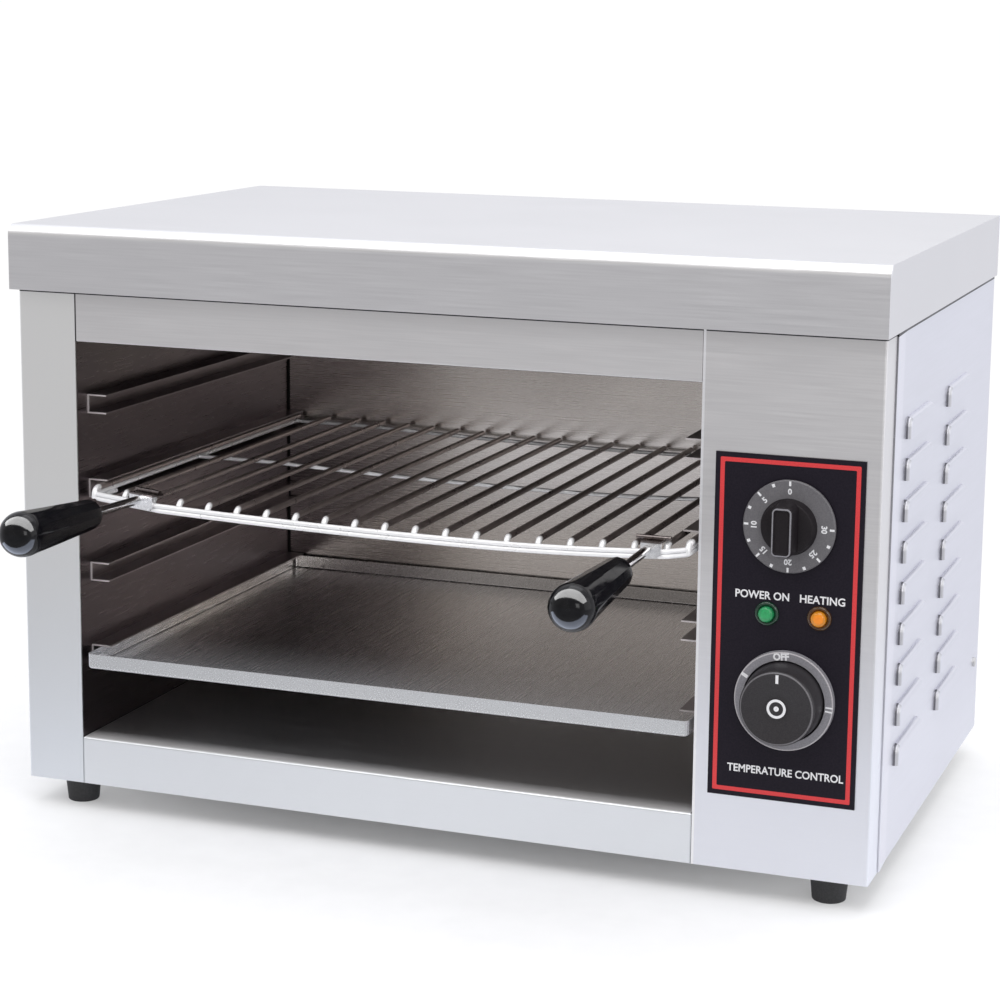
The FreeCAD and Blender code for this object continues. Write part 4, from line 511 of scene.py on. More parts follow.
# %% [markdown]
# ## Plastics, rubber and ceramic
# Mouldings have a faint texture from the tool's surface. Gloss black grips show it only as a slight
# waviness in the reflections, while rubber and the dials scatter the light.


# %% Moulded finishes
def moulded(name, light, dark, roughness, size, relief, gloss_level=0.5):
    """A moulding: texture of a size, with its relief in millimetres."""
    material, tree, shader = new_finish(name)
    texture = noise(tree, EVEN, size)
    feed(tree, shader, {"Base Color": two_tones(tree, texture, dark, light, 0.35),
                        "Roughness": spread(tree, texture, roughness, roughness + 0.08),
                        "Specular IOR Level": gloss_level})
    bumps(tree, shader, texture, relief * MM, 0.4)
    return material


grip_black = moulded("grip_black", (0.006, 0.006, 0.007), (0.003, 0.003, 0.004), 0.06, 220, 0.01, 0.22)
plate_black = moulded("plate_black", (0.016, 0.013, 0.020), (0.011, 0.009, 0.015), 0.36, 900, 0.01, 0.12)
dial_black = moulded("dial_black", (0.034, 0.031, 0.034), (0.022, 0.020, 0.023), 0.34, 1500, 0.03, 0.35)
hub_black = moulded("hub_black", (0.014, 0.011, 0.013), (0.009, 0.007, 0.009), 0.40, 1500, 0.03, 0.2)
skirt_grey = moulded("skirt_grey", (0.150, 0.145, 0.155), (0.112, 0.108, 0.117), 0.34, 1500, 0.03)
dial_grey = moulded("dial_grey", (0.27, 0.265, 0.29), (0.21, 0.205, 0.225), 0.30, 1500, 0.03)
# A pale grey for the painted highlight on the thermostat ring's edge.
highlight_grey = moulded("highlight_grey", (0.50, 0.48, 0.50), (0.38, 0.36, 0.38), 0.3, 1500, 0.03)
inner_plastic = moulded("inner_plastic", (0.42, 0.40, 0.37), (0.33, 0.31, 0.29), 0.5, 700, 0.04)
foot_rubber = moulded("foot_rubber", (0.035, 0.035, 0.037), (0.02, 0.02, 0.022), 0.62, 900, 0.08)
gland_plastic = moulded("gland_plastic", (0.03, 0.03, 0.03), (0.018, 0.018, 0.018), 0.4, 700, 0.04)
ceramic = moulded("block_ceramic", (0.82, 0.79, 0.72), (0.72, 0.69, 0.62), 0.35, 300, 0.04)
wire_red = moulded("wire_insulation", (0.42, 0.07, 0.05), (0.3, 0.045, 0.035), 0.45, 400, 0.03)
heater_dark = moulded("heater_sheath", (0.10, 0.085, 0.075), (0.055, 0.047, 0.042), 0.48, 260, 0.08)
print("moulded finishes", 13)

# %% [markdown]
# ## Inks and lenses
# The control plate is printed: a red frame, white figures. Ink is a thin even film, so its finish is a
# slightly uneven colour with a soft gloss. The lamp lenses are clear coloured plastic that lets some
# light through. Their faint glow is painted light. A darker copy for the flanges is painted shade, and
# brighter, glowing copies for the cores are painted light.


# %% Inks and lens plastic
def ink(name, light, dark):
    """A printed film."""
    material, tree, shader = new_finish(name)
    film = noise(tree, EVEN, 1200, 2.0)
    feed(tree, shader, {"Base Color": two_tones(tree, film, dark, light),
                        "Roughness": spread(tree, film, 0.38, 0.5)})
    return material


def lens_plastic(name, light, dark, glow):
    """Clear coloured plastic with a painted glow, a little light of its own."""
    material, tree, shader = new_finish(name)
    swirl = noise(tree, EVEN, 350, 2.0)
    colour = two_tones(tree, swirl, dark, light)
    feed(tree, shader, {"Base Color": colour, "Roughness": spread(tree, swirl, 0.08, 0.16),
                        "Transmission Weight": 0.35, "Coat Weight": 0.5, "Emission Color": colour,
                        "Emission Strength": glow})
    return material


ink_red = ink("ink_red", (0.74, 0.045, 0.05), (0.62, 0.035, 0.04))
ink_white = ink("ink_white", (0.86, 0.86, 0.88), (0.74, 0.74, 0.76))
# The lenses' own glow is painted light.
lens_green = lens_plastic("lens_green", (0.03, 0.42, 0.15), (0.015, 0.30, 0.10), 0.10)
lens_orange = lens_plastic("lens_orange", (0.85, 0.33, 0.012), (0.72, 0.26, 0.008), 0.12)
# Painted shade: darker copies of the lens plastic for the flanges.
shaded_rim_green = lens_plastic("shaded_rim_green", (0.012, 0.07, 0.035), (0.006, 0.04, 0.02), 0.0)
shaded_rim_orange = lens_plastic("shaded_rim_orange", (0.13, 0.06, 0.012), (0.07, 0.03, 0.006), 0.0)
# Painted light: brighter, glowing copies of the lens plastic for the cores.
glowing_core_green = lens_plastic("glowing_core_green", (0.10, 0.62, 0.28), (0.05, 0.48, 0.2), 0.3)
glowing_core_orange = lens_plastic("glowing_core_orange", (0.98, 0.46, 0.03), (0.9, 0.38, 0.015), 0.3)
print("inks and lenses", 8)

# %% [markdown]
# ## Finishes for the solids
# Each solid knows the material slot that the parts list gives it. A table from slot to finish dresses
# all of them in one go, and a few nodes that differ from their neighbours come after it.

# %% Dress the solids
FINISHES = {
    "outer_steel": case_steel, "liner_steel": liner, "tray_steel": tray_steel, "base_sheet": mill_steel,
    "rack_chrome": rack_wire, "hook_steel": shank_chrome, "grip_black": grip_black,
    "plate_print": plate_black, "knob_black": dial_black, "dial_grey": dial_grey,
    "lens_green": lens_green, "lens_orange": lens_orange, "inner_plastic": inner_plastic,
    "works_metal": works_metal, "heater_sheath": heater_dark, "capillary_copper": copper,
    "ferrule_brass": brass, "block_ceramic": ceramic, "wire_insulation": wire_red,
    "gland_plastic": gland_plastic, "foot_rubber": foot_rubber, "fixings": zinc}
OTHER_FINISHES = {"left_side_panel": side_steel, "right_side_panel": side_steel,
                  "inner_back_wall": lit_rear_liner, "lid_cover": lid_steel,
                  "left_handle_hook": left_hook_steel, "right_handle_hook": right_hook_steel,
                  **dict.fromkeys(RAILS, rail_sheet)}


def dress(item, finish_used):
    """One finish over the whole object."""
    item.data.materials.clear()
    item.data.materials.append(finish_used)


for name, item in frame["nodes"].items():
    dress(item, OTHER_FINISHES.get(name, FINISHES[slot_of[name]]))
print("dressed", len(frame["nodes"]), "solids")

# %% [markdown]
# ## Joints, painted shade and painted light
# Marks follow the shape: dark lines where sheets meet, painted shadow under the lid, a painted highlight
# along the lid's front fold, painted reflections and shade on the front, the tray and the louvres, and
# tones low in the cavity. Each mark is a zone between two values of a coordinate, and a solid's own copy
# of its finish gets another tone there. A zone moves with the solid, while a mark in an image texture
# would need a layout of the whole surface.


# %% Zones
def fade(tree, axis, first, last, start, end):
    """A share that runs from first to last between two values of a coordinate."""
    return spread(tree, coordinate(tree, axis), first, last, start, end)


def product(tree, first, second):
    """Two shares multiplied."""
    return sums(tree, "MULTIPLY", first, second)


def zone(tree, axis, start, end, soft=0.2 * MM):
    """1 where a coordinate lies between two values, 0 outside."""
    return product(tree, fade(tree, axis, 0.0, 1.0, start - soft, start),
                   fade(tree, axis, 1.0, 0.0, end, end + soft))


def near_line(tree, line_y, line_z, full, gone):
    """1 close to a line that runs across the case, 0 away from it."""
    spot = node(tree, "TexCoord")
    flat = node(tree, "Mapping", {"Scale": (0, 1, 1)})
    away = node(tree, "VectorMath", {1: (0, line_y, line_z)}, operation="DISTANCE")
    tree.links.new(spot.outputs["Object"], flat.inputs["Vector"])
    tree.links.new(flat.outputs["Vector"], away.inputs[0])
    return spread(tree, away.outputs["Value"], 1.0, 0.0, full, gone)


def toned(tree, tone, share):
    """Mixes a tone into a finish by a share."""
    base = tree.nodes["Principled BSDF"].inputs["Base Color"]
    tree.links.new(mixed(tree, base.links[0].from_socket, (*tone, 1), share), base)


def less_metallic(tree, share):
    """Takes a share off the finish's metal look, so that it scatters some light."""
    tree.links.new(sums(tree, "SUBTRACT", 1.0, share), tree.nodes["Principled BSDF"].inputs["Metallic"])


print("zones ready")

# %% [markdown]
# One material can dress many solids, so a mark drawn into it would show on all of them. Nine solids get
# a copy of their finish, and the marks go into the copies.


# %% Finishes of their own
def own_finish(name, solid):
    """A copy of a solid's finish, for marks of its own, and the copy's tree."""
    material = frame["nodes"][solid].data.materials[0].copy()
    material.name = name
    return material, material.node_tree


own_trees = {}
for name in ("upper_fascia", "control_panel", "left_side_panel", "base_pan", "drip_tray", "lid_cover",
             "inner_left_wall", "inner_back_wall", "right_side_panel"):
    material, own_trees[name] = own_finish(name + "_finish", name)
    dress(frame["nodes"][name], material)
# Dark of the real gaps between sheets, also used for painted shadow under the lid and on the side sheet's
# edge.
GAP_AND_SHADOW_DARK = (0.05, 0.05, 0.055)
print("solids with a finish of their own", len(own_trees))

# %% [markdown]
# ## Marks under the lid
# Painted shade: the lid's skirts shade the sheets below them, painted as a darker tone and a dark line
# just under each skirt. A painted highlight runs along the fold at the lid's front. The left post's front
# face gets a lighter tone, painted light, and a bluish one at its foot, a painted reflection of the white
# table.

# %% Marks under the lid
LID_LOW, LID_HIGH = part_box("lid_cover")
PAN_LOW, PAN_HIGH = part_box("base_pan")
UNDER_FRONT_SKIRT = LID_LOW.z - 1.9 * MM
UNDER_SIDE_SKIRT = LID_LOW.z - 2.6 * MM
SKIRT_SHADE = (0.62, 0.61, 0.61)
FOLD_HIGHLIGHT = (0.97, 0.97, 0.985)


def shadow_under_lid(tree, under=UNDER_FRONT_SKIRT):
    """A painted shadow: the dark line under one of the lid's skirts."""
    toned(tree, GAP_AND_SHADOW_DARK, zone(tree, "Z", under, LID_HIGH.z))


for name in ("upper_fascia", "control_panel", "left_side_panel"):
    tree = own_trees[name]
    # Painted shade under the lid's skirts.
    toned(tree, SKIRT_SHADE, fade(tree, "Z", 0.0, 0.5, LID_LOW.z - 16 * MM, LID_LOW.z))
    if name == "left_side_panel":
        # Painted light on the post's front face, and a painted reflection of the table at its foot.
        post_face = zone(tree, "Y", PAN_LOW.y - 1 * MM, PAN_LOW.y + 3 * MM)
        toned(tree, (0.86, 0.86, 0.85), post_face)
        toned(tree, (0.80, 0.83, 0.875), product(tree, post_face, fade(tree, "Z", 1.0, 0.0, 0.05, 0.24)))
    shadow_under_lid(tree)
tree = own_trees["lid_cover"]
# Painted highlight along the lid's front fold.
toned(tree, FOLD_HIGHLIGHT, near_line(tree, LID_LOW.y, LID_HIGH.z, 3 * MM, 8.5 * MM))
print("joint lines under z", round(UNDER_FRONT_SKIRT, 4), round(UNDER_SIDE_SKIRT, 4))

# %% [markdown]
# ## Marks between the sheets
# Where two sheets of the front meet, the gap shows as a dark upright line. The sill's upper edge is less
# metallic near the front, a pale lip. The sill's face and the foot of the control panel get a bluish
# tone, a painted reflection of the table, and a thin painted highlight marks the panel's folded left
# edge.

# %% Marks between the sheets
GAP = 1.1 * MM
GAP_BEYOND = 0.66 * MM
for name, edges_left in (("upper_fascia", (True,)), ("base_pan", (True, False))):
    tree = own_trees[name]
    for on_left in edges_left:
        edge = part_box(name)[0 if on_left else 1].x
        low, high = (edge - GAP, edge + GAP_BEYOND) if on_left else (edge - GAP_BEYOND, edge + GAP)
        toned(tree, GAP_AND_SHADOW_DARK, zone(tree, "X", low, high))

tree = own_trees["base_pan"]
near_top = fade(tree, "Z", 0.0, 1.0, PAN_HIGH.z - 0.6 * MM, PAN_HIGH.z - 0.2 * MM)
less_metallic(tree, product(tree, near_top, fade(tree, "Y", 0.7, 0.0, PAN_LOW.y + 3 * MM,
                                                 PAN_LOW.y + 20 * MM)))
# Painted reflection of the bluish table on the sill's face.
sill_face = product(tree, zone(tree, "Y", PAN_LOW.y - 1 * MM, PAN_LOW.y + 0.6 * MM), 0.7)
toned(tree, (0.835, 0.87, 0.915), sill_face)

tree = own_trees["control_panel"]
panel_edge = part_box("control_panel")[0].x
# Painted reflection of the table low on the control panel, and a painted highlight along its left edge.
toned(tree, (0.83, 0.845, 0.905), fade(tree, "Z", 1.0, 0.0, 0.10, 0.22))
toned(tree, (0.96, 0.96, 0.98), zone(tree, "X", panel_edge, panel_edge + 1.6 * MM))
print("sheet gap", GAP, "panel's edge at x", round(panel_edge, 4))

# %% [markdown]
# ## The tray's tones
# Near its front the tray gets a bluish tone, a painted reflection of the sky through the cavity's mouth,
# and it is a little frosted there; painted shade darkens it on the right. Its folded front face gets a
# greyer tone.

# %% Tray tones
TRAY_LOW, TRAY_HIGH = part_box("drip_tray")
tree = own_trees["drip_tray"]
# Painted reflection of the sky near the tray's front.
toned(tree, (0.73, 0.76, 0.82), fade(tree, "Y", 0.8, 0.0, TRAY_LOW.y + 20 * MM, TRAY_LOW.y + 150 * MM))
# Painted shade on the tray's right part.
toned(tree, (0.42, 0.40, 0.39), fade(tree, "X", 0.0, 0.6, -50 * MM, 30 * MM))
toned(tree, (0.59, 0.60, 0.615), zone(tree, "Y", TRAY_LOW.y - 1 * MM, TRAY_LOW.y + 0.5 * MM))
less_metallic(tree, fade(tree, "Y", 0.0, 0.3, TRAY_LOW.y + 110 * MM, TRAY_LOW.y + 10 * MM))
print("tray's front at y", round(TRAY_LOW.y, 4), "top at z", round(TRAY_HIGH.z, 4))

# %% [markdown]
# ## Painted shade on the louvres
# A press draws each louvre out of the side sheet as a hood. The hoods get an even tone where they stand
# out of the side, and painted shade darkens each hood's front end, most of all close to the side.

# %% Marks on the louvres
SIDE_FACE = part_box("control_panel")[1].x
HOOD_FRONTS = (-0.05065, 0.08935)
HOOD_END = 5 * MM
# Each painted shade of a hood's front end: from and to, in metres out of the side, and the tone.
HOOD_SHADES = ((0.2 * MM, 1.5 * MM, (0.20, 0.20, 0.22)), (1.9 * MM, 3.4 * MM, (0.60, 0.60, 0.63)))
tree = own_trees["right_side_panel"]
toned(tree, (0.79, 0.79, 0.85), zone(tree, "X", SIDE_FACE + 0.4 * MM, SIDE_FACE + 3.1 * MM))
for front in HOOD_FRONTS:
    for start, end, tone in HOOD_SHADES:
        toned(tree, tone, product(tree, zone(tree, "X", SIDE_FACE + start, SIDE_FACE + end),
                                  zone(tree, "Y", front - HOOD_END, front + HOOD_END)))
# Painted shadow under the lid's side skirt.
shadow_under_lid(tree, UNDER_SIDE_SKIRT)
print("hood fronts at y", HOOD_FRONTS)

# %% [markdown]
# ## Tones low in the cavity
# The left wall is darker in its lower part. Low down on the rear sheet, painted shade darkens its left
# part and painted light brightens the rest. Soft fades blend these tones in.

# %% Tones low in the cavity
tree = own_trees["inner_left_wall"]
toned(tree, (0.095, 0.080, 0.085), fade(tree, "Z", 0.6, 0.0, 0.21, 0.30))
tree = own_trees["inner_back_wall"]
low_down = fade(tree, "Z", 1.0, 0.0, 0.20, 0.29)
# Painted shade low on the rear sheet's left, and painted light low on the rest of it.
toned(tree, (0.26, 0.235, 0.235), product(tree, low_down, fade(tree, "X", 0.85, 0.0, -0.24, -0.13)))
toned(tree, (0.95, 0.90, 0.87), product(tree, low_down, fade(tree, "X", 0.0, 1.0, -0.13, -0.06)))
print("soot on the left wall and low on the rear sheet")

# %% [markdown]
# A folded or cut sheet has no knife edge. A small bevel along each edge of the solids catches the light
# in a thin line, and where two sheets meet, the two bevels leave the fine dark seam of a real joint.

# %% Soften the sheet edges
SHEET_EDGES = {"lid_cover": 0.5, "left_side_panel": 0.4, "right_side_panel": 0.4, "control_panel": 0.4,
               "upper_fascia": 0.3, "base_pan": 0.3, "drip_tray": 0.3, "left_handle_hook": 0.5,
               "right_handle_hook": 0.5, "thermostat_ring": 0.6, **dict.fromkeys(RAILS, 0.25)}


def soften(item, width):
    """A bevel, with its width in metres, along an object's sharp edges."""
    softening = item.modifiers.new("soft_edges", "BEVEL")
    softening.width = width
    softening.segments = 2
    softening.limit_method = "ANGLE"
    softening.angle_limit = math.radians(40)
    softening.harden_normals = True


for name, width in SHEET_EDGES.items():
    soften(frame["nodes"][name], width * MM)
print("softened", len(SHEET_EDGES), "solids")

# %% [markdown]
# The floor's paper is nearly white and matt. Its share of clear, from a tenth in the middle to all of it
# at the rim, is a mix with a transparent shader, driven by the distance from the middle.

# %% Dress the floor
floor_white, tree, shader = new_finish("floor_white")
paper = noise(tree, EVEN, 40)
feed(tree, shader, {"Base Color": two_tones(tree, paper, (0.90, 0.905, 0.92), (0.93, 0.935, 0.95)),
                    "Roughness": 0.7})
spot = node(tree, "TexCoord")
away = node(tree, "VectorMath", operation="LENGTH")
tree.links.new(spot.outputs["Object"], away.inputs[0])
faded = node(tree, "MixShader")
tree.links.new(spread(tree, away.outputs["Value"], 0.1, 1.0, FLOOR_SOLID, FLOOR_REACH, "SMOOTHSTEP"),
               faded.inputs[0])
tree.links.new(shader.outputs[0], faded.inputs[1])
tree.links.new(node(tree, "BsdfTransparent").outputs[0], faded.inputs[2])
tree.links.new(faded.outputs[0], tree.nodes["Material Output"].inputs["Surface"])
dress(floor, floor_white)
print("floor solid to", FLOOR_SOLID, "faded out at", FLOOR_REACH)

# %% [markdown]
# ## Helpers for shapes
# A finer shape has to sit exactly where its plain solid stands. So places and sizes are read from the
# boxes of the solids, and only the small steps of an outline are given, in millimetres.


# %% Places and lengths
def front_place(x, y, z):
    """A place on a front face: local x to the right, local y up, local z towards the viewer."""
    return Matrix.Translation((x, y, z)) @ Matrix.Rotation(math.pi / 2, 4, "X")


def moved_out(place, distance):
    """A place moved along its own z."""
    return place @ Matrix.Translation((0, 0, distance))


def measured(first, second, steps):
    """Pairs of lengths, from two starts and steps in millimetres."""
    return [(first + one * MM, second + other * MM) for one, other in steps]


def middle(node_name):
    """The middle of a solid's box."""
    low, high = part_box(node_name)
    return (low + high) / 2


def knob_facts(node_name):
    """A knob's middle, the place on its rear face, its radius and its depth."""
    low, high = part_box(node_name)
    centre = middle(node_name)
    return centre, front_place(centre.x, high.y, centre.z), (high.x - low.x) / 2, high.y - low.y


print("timer knob's middle", tuple(round(c, 4) for c in middle("timer_knob")))

# %% [markdown]
# Knobs and lenses are turned parts, the finger bar and the grips are outlines that change along their
# length, and a seam is one outline drawn upwards. All of them come from one helper that skins faces over
# a stack of outlines.


# %% Skinned shapes
def skin(shape, lower, upper):
    """Faces between two rings, or between a ring and a point."""
    steps = max(len(lower), len(upper))
    for step in range(steps):
        after = (step + 1) % steps
        corners = [lower[step % len(lower)], lower[after % len(lower)],
                   upper[after % len(upper)], upper[step % len(upper)]]
        distinct = list(dict.fromkeys(corners))
        if len(distinct) > 2:
            shape.faces.new(distinct)


def skinned(levels, capped=False, joined=False):
    """Faces over outlines, each (points, height); with capped ends, or joined back to the first."""
    shape = bmesh.new()
    rings = [[shape.verts.new((x, y, height)) for x, y in points] for points, height in levels]
    for lower, upper in zip(rings, rings[1:] + (rings[:1] if joined else [])):
        skin(shape, lower, upper)
    if capped:
        shape.faces.new(rings[0])
        shape.faces.new(rings[-1])
    bmesh.ops.recalc_face_normals(shape, faces=shape.faces)
    return shape


def circle(radius, steps):
    """Points of a circle about the origin, or the origin alone."""
    if radius <= 0:
        return [(0, 0)]
    turns = [2 * math.pi * step / steps for step in range(steps)]
    return [(radius * math.cos(turn), radius * math.sin(turn)) for turn in turns]


def turned(profile, steps=128):
    """A shape turned about local z from (radius, height) points."""
    return skinned([(circle(radius, steps), height) for radius, height in profile])


def rounded_rectangle(width, height, corner, steps=8):
    """Corner points of a rounded rectangle about the origin, counter-clockwise."""
    points = []
    for quarter, (side, end) in enumerate(((1, 1), (-1, 1), (-1, -1), (1, -1))):
        for step in range(steps + 1):
            turn = math.pi / 2 * (quarter + step / steps)
            points.append((side * (width / 2 - corner) + corner * math.cos(turn),
                           end * (height / 2 - corner) + corner * math.sin(turn)))
    return points


print("skins, circles and rounded rectangles")

# %% [markdown]
# Every new piece is placed, dressed and tied to the body that it moves with. Where it stands for a solid,
# that solid is hidden.


# %% Pieces
def place_object(name, mesh, place, finish_used, body):
    """An object that is placed, dressed and riding on its body."""
    item = bpy.data.objects.new(name, mesh)
    bpy.context.scene.collection.objects.link(item)
    item.matrix_world = place
    dress(item, finish_used)
    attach(item, body)
    return item


def piece(name, shape, place, finish_used, body, sharp=35, stands_for=()):
    """A bmesh made into an object, smooth but for edges sharper than an angle in degrees."""
    mesh = bpy.data.meshes.new(name)
    shape.to_mesh(mesh)
    shape.free()
    mesh.shade_smooth()
    mesh.set_sharp_from_angle(angle=math.radians(sharp))
    item = place_object(name, mesh, place, finish_used, body)
    if stands_for:
        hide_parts(*stands_for)
    return item


print("pieces can be placed")

# %% [markdown]
# ## The timer knob
# A printed skirt, a round hub and a finger bar are one moulding. The bar is a rounded rectangle that
# is pushed forwards, and its end face is sunk a little inside a rim. Building the skirt and the bar as
# two pieces keeps each outline simple; both ride on the timer's own body, so they turn together.

# %% Timer knob
TIMER, timer_place, SKIRT_RADIUS, TIMER_DEPTH = knob_facts("timer_knob")
SKIRT_FACE = 3.0 * MM
HUB_TOP = 9.0 * MM
HUB_RADIUS = 17.8 * MM
skirt = turned([(0, 0)] + measured(SKIRT_RADIUS, 0, ((-0.4, 0), (0, 0.6), (0, 2.2), (-0.7, 3)))
               + [(HUB_RADIUS - 1 * MM, SKIRT_FACE), (0, SKIRT_FACE)])
piece("timer_skirt", skirt, timer_place, skirt_grey, "timer", stands_for=("timer_knob",))
hub = turned([(0, SKIRT_FACE - 1 * MM)]
             + measured(HUB_RADIUS, SKIRT_FACE, ((0.4, -1), (0.4, 0.2), (0, 0.6)))
             + measured(HUB_RADIUS, HUB_TOP, ((-1, -0.8), (-1.3, -0.3), (-1.9, 0))) + [(0, HUB_TOP)])
piece("timer_hub", hub, timer_place, hub_black, "timer")
print("timer at", tuple(round(c, 4) for c in TIMER), "skirt radius", round(SKIRT_RADIUS, 4))

# %% [markdown]
# The finger bar is the same rounded rectangle at several heights, each inset a little from the last, so
# the bar narrows, rounds over at its end and then sinks into it. The rim round its end carries a painted
# highlight: a band of grey between two such insets.

# %% Finger bar
BAR_WIDTH = 14.5 * MM
BAR_LENGTH = 32.6 * MM
BAR_CORNER = 4.2 * MM


def bar_outlines(levels):
    """The bar's outline at each (inset, height)."""
    return [(rounded_rectangle(BAR_WIDTH - 2 * inset, BAR_LENGTH - 2 * inset, BAR_CORNER - inset), height)
            for inset, height in levels]


BAR_FOOT = measured(0, HUB_TOP, ((-0.4, -1), (0, 1)))
BAR_END = measured(0, TIMER_DEPTH, ((0.4, -2.2), (0.9, -0.8), (1.7, 0), (2.6, -0.1), (3.1, -0.8)))
# Painted highlight on the finger bar's rim.
BAR_RIM_HIGHLIGHT = measured(0, TIMER_DEPTH, ((1.1, -0.6), (1.2, 0.06), (2.0, 0.06), (2.2, -0.6)))
piece("timer_finger_bar", skinned(bar_outlines(BAR_FOOT + BAR_END), capped=True), timer_place, hub_black,
      "timer")
piece("timer_bar_rim_highlight", skinned(bar_outlines(BAR_RIM_HIGHLIGHT), joined=True), timer_place, dial_grey, "timer")
print("finger bar", BAR_WIDTH, "by", BAR_LENGTH)

# %% [markdown]
# ## Figures on the skirt
# The timer's figures stand round its skirt, 0 at the top and 5 more for each eighth of a turn to the
# left, their heads outwards. Blender's text makes good outlines. Turning the text into a mesh lets it
# be fitted to a given height and width, as a printer would fit it to the space. Ink is a film, so a print
# is a few hundredths of a millimetre thick.

# %% Printed words
PRINT_LIFT = 0.04 * MM
PRINT_THICKNESS = 0.03 * MM
TEXT_DEPTH = 0.02


def lettering(name, words, height, width, place, body, weight=0.0):
    """Printed words about the place's origin; width 0 keeps the letters' own proportions."""
    text = bpy.data.curves.new(name, "FONT")
    text.body = words
    text.size = 1.0
    text.extrude = TEXT_DEPTH / 2
    text.offset = weight
    text.resolution_u = 3
    holder = bpy.data.objects.new(name + "_text", text)
    bpy.context.scene.collection.objects.link(holder)
    bpy.context.view_layer.update()
    mesh = bpy.data.meshes.new_from_object(holder.evaluated_get(bpy.context.evaluated_depsgraph_get()))
    bpy.data.objects.remove(holder)
    spots = [vertex.co for vertex in mesh.vertices]
    low = Vector([min(spot[axis] for spot in spots) for axis in range(3)])
    high = Vector([max(spot[axis] for spot in spots) for axis in range(3)])
    tall = height / (high.y - low.y)
    wide = width / (high.x - low.x) if width else tall
    fit = Matrix.Diagonal((wide, tall, PRINT_THICKNESS / TEXT_DEPTH, 1))
    mesh.transform(fit @ Matrix.Translation(-(low + high) / 2))
    return place_object(name, mesh, moved_out(place, PRINT_LIFT), ink_white, body)


print("print thickness", PRINT_THICKNESS)

# %% [markdown]
# Marks are thin bars of ink, each at a turn and a radius on its dial. A flat ring is turned like a knob,
# only far thinner.


# %% Printed bars and rings
def round_the_dial(place, turn, radius):
    """A place on a dial: turned to the left from the top, at a radius, with its head outwards."""
    return place @ Matrix.Rotation(turn, 4, "Z") @ Matrix.Translation((0, radius, 0))


def printed_bars(name, bars, place, body):
    """Thin rectangles of ink in one piece: each bar is (turn, radius, width, length)."""
    shape = bmesh.new()
    for turn, radius, width, length in bars:
        where = moved_out(round_the_dial(Matrix(), turn, radius), PRINT_LIFT)
        flat = bmesh.ops.create_cube(shape, size=1.0, matrix=where @ Matrix.Diagonal(
            (width, length, PRINT_THICKNESS, 1)))
        bmesh.ops.bevel(shape, geom=list({edge for vertex in flat["verts"] for edge in vertex.link_edges}),
                        offset=PRINT_THICKNESS / 4, segments=1, affect="EDGES")
    return piece(name, shape, place, ink_white, body)


def printed_ring(name, inner, outer, place, body):
    """A flat ring of ink."""
    flat = turned([(inner, 0), (outer, 0), (outer, PRINT_THICKNESS), (inner, PRINT_THICKNESS), (inner, 0)],
                  64)
    return piece(name, flat, moved_out(place, PRINT_LIFT / 2), ink_white, body)


print("bars and rings can be printed")

# %% [markdown]
# Seven figures go round the skirt in a loop, each with a long mark outside it and a short one halfway to
# the next. All the marks are one piece, since they are one print.

# %% Timer figures and marks
FIGURE_RADIUS = 22.6 * MM
FIGURE_HEIGHT = 3.9 * MM
MARK_RADIUS = 27.6 * MM
MARKS = 7
skirt_place = moved_out(timer_place, SKIRT_FACE)
marks = []
for mark in range(MARKS):
    turn = math.radians(45 * mark)
    lettering("timer_figure_%02d" % (5 * mark), str(5 * mark), FIGURE_HEIGHT, 0,
              round_the_dial(skirt_place, turn, FIGURE_RADIUS), "timer", weight=0.035)
    marks.append((turn, MARK_RADIUS, 1.4 * MM, 3.0 * MM))
    if mark < MARKS - 1:
        marks.append((turn + math.radians(22.5), MARK_RADIUS + 0.1 * MM, 1.9 * MM, 2.1 * MM))
printed_bars("timer_marks", marks, skirt_place, "timer")
print("figures", MARKS, "marks", len(marks))

# %% [markdown]
# ## The thermostat knob
# A slightly tapered cap turns inside a grey ring that stays still. The cap is turned from one outline:
# foot, wall, rounded rim, a fine groove, the dish and the boss at its middle. One stroke on it points at
# the ring's figures, and its boss carries a plain ring and a dot. A band of lighter grey on the rounded
# rim is a painted highlight.

# %% Thermostat knob
STAT, stat_place, FOOT_RADIUS, STAT_DEPTH = knob_facts("thermostat_knob")
FACE_RADIUS = 24.3 * MM
cap = turned([(0, 0)] + measured(FOOT_RADIUS, 0, ((-0.3, 0), (0, 0.3), (-0.2, 2)))
             + measured(FACE_RADIUS, STAT_DEPTH, ((0.1, -2.1), (-0.2, -1.3), (-0.7, -0.6), (-1.3, -0.1),
                                                  (-1.9, 0), (-2.4, -0.2)))
             + measured(0, STAT_DEPTH, ((13.2, -0.5), (12.8, -0.6), (10, -1.3), (7.8, -1.6), (7.1, -1.6),
                                        (6.9, -1.4), (6.7, -0.6), (6.4, -0.5), (0, -0.5))))
piece("thermostat_cap", cap, stat_place, dial_black, "thermostat",
      stands_for=("thermostat_knob",), sharp=50)
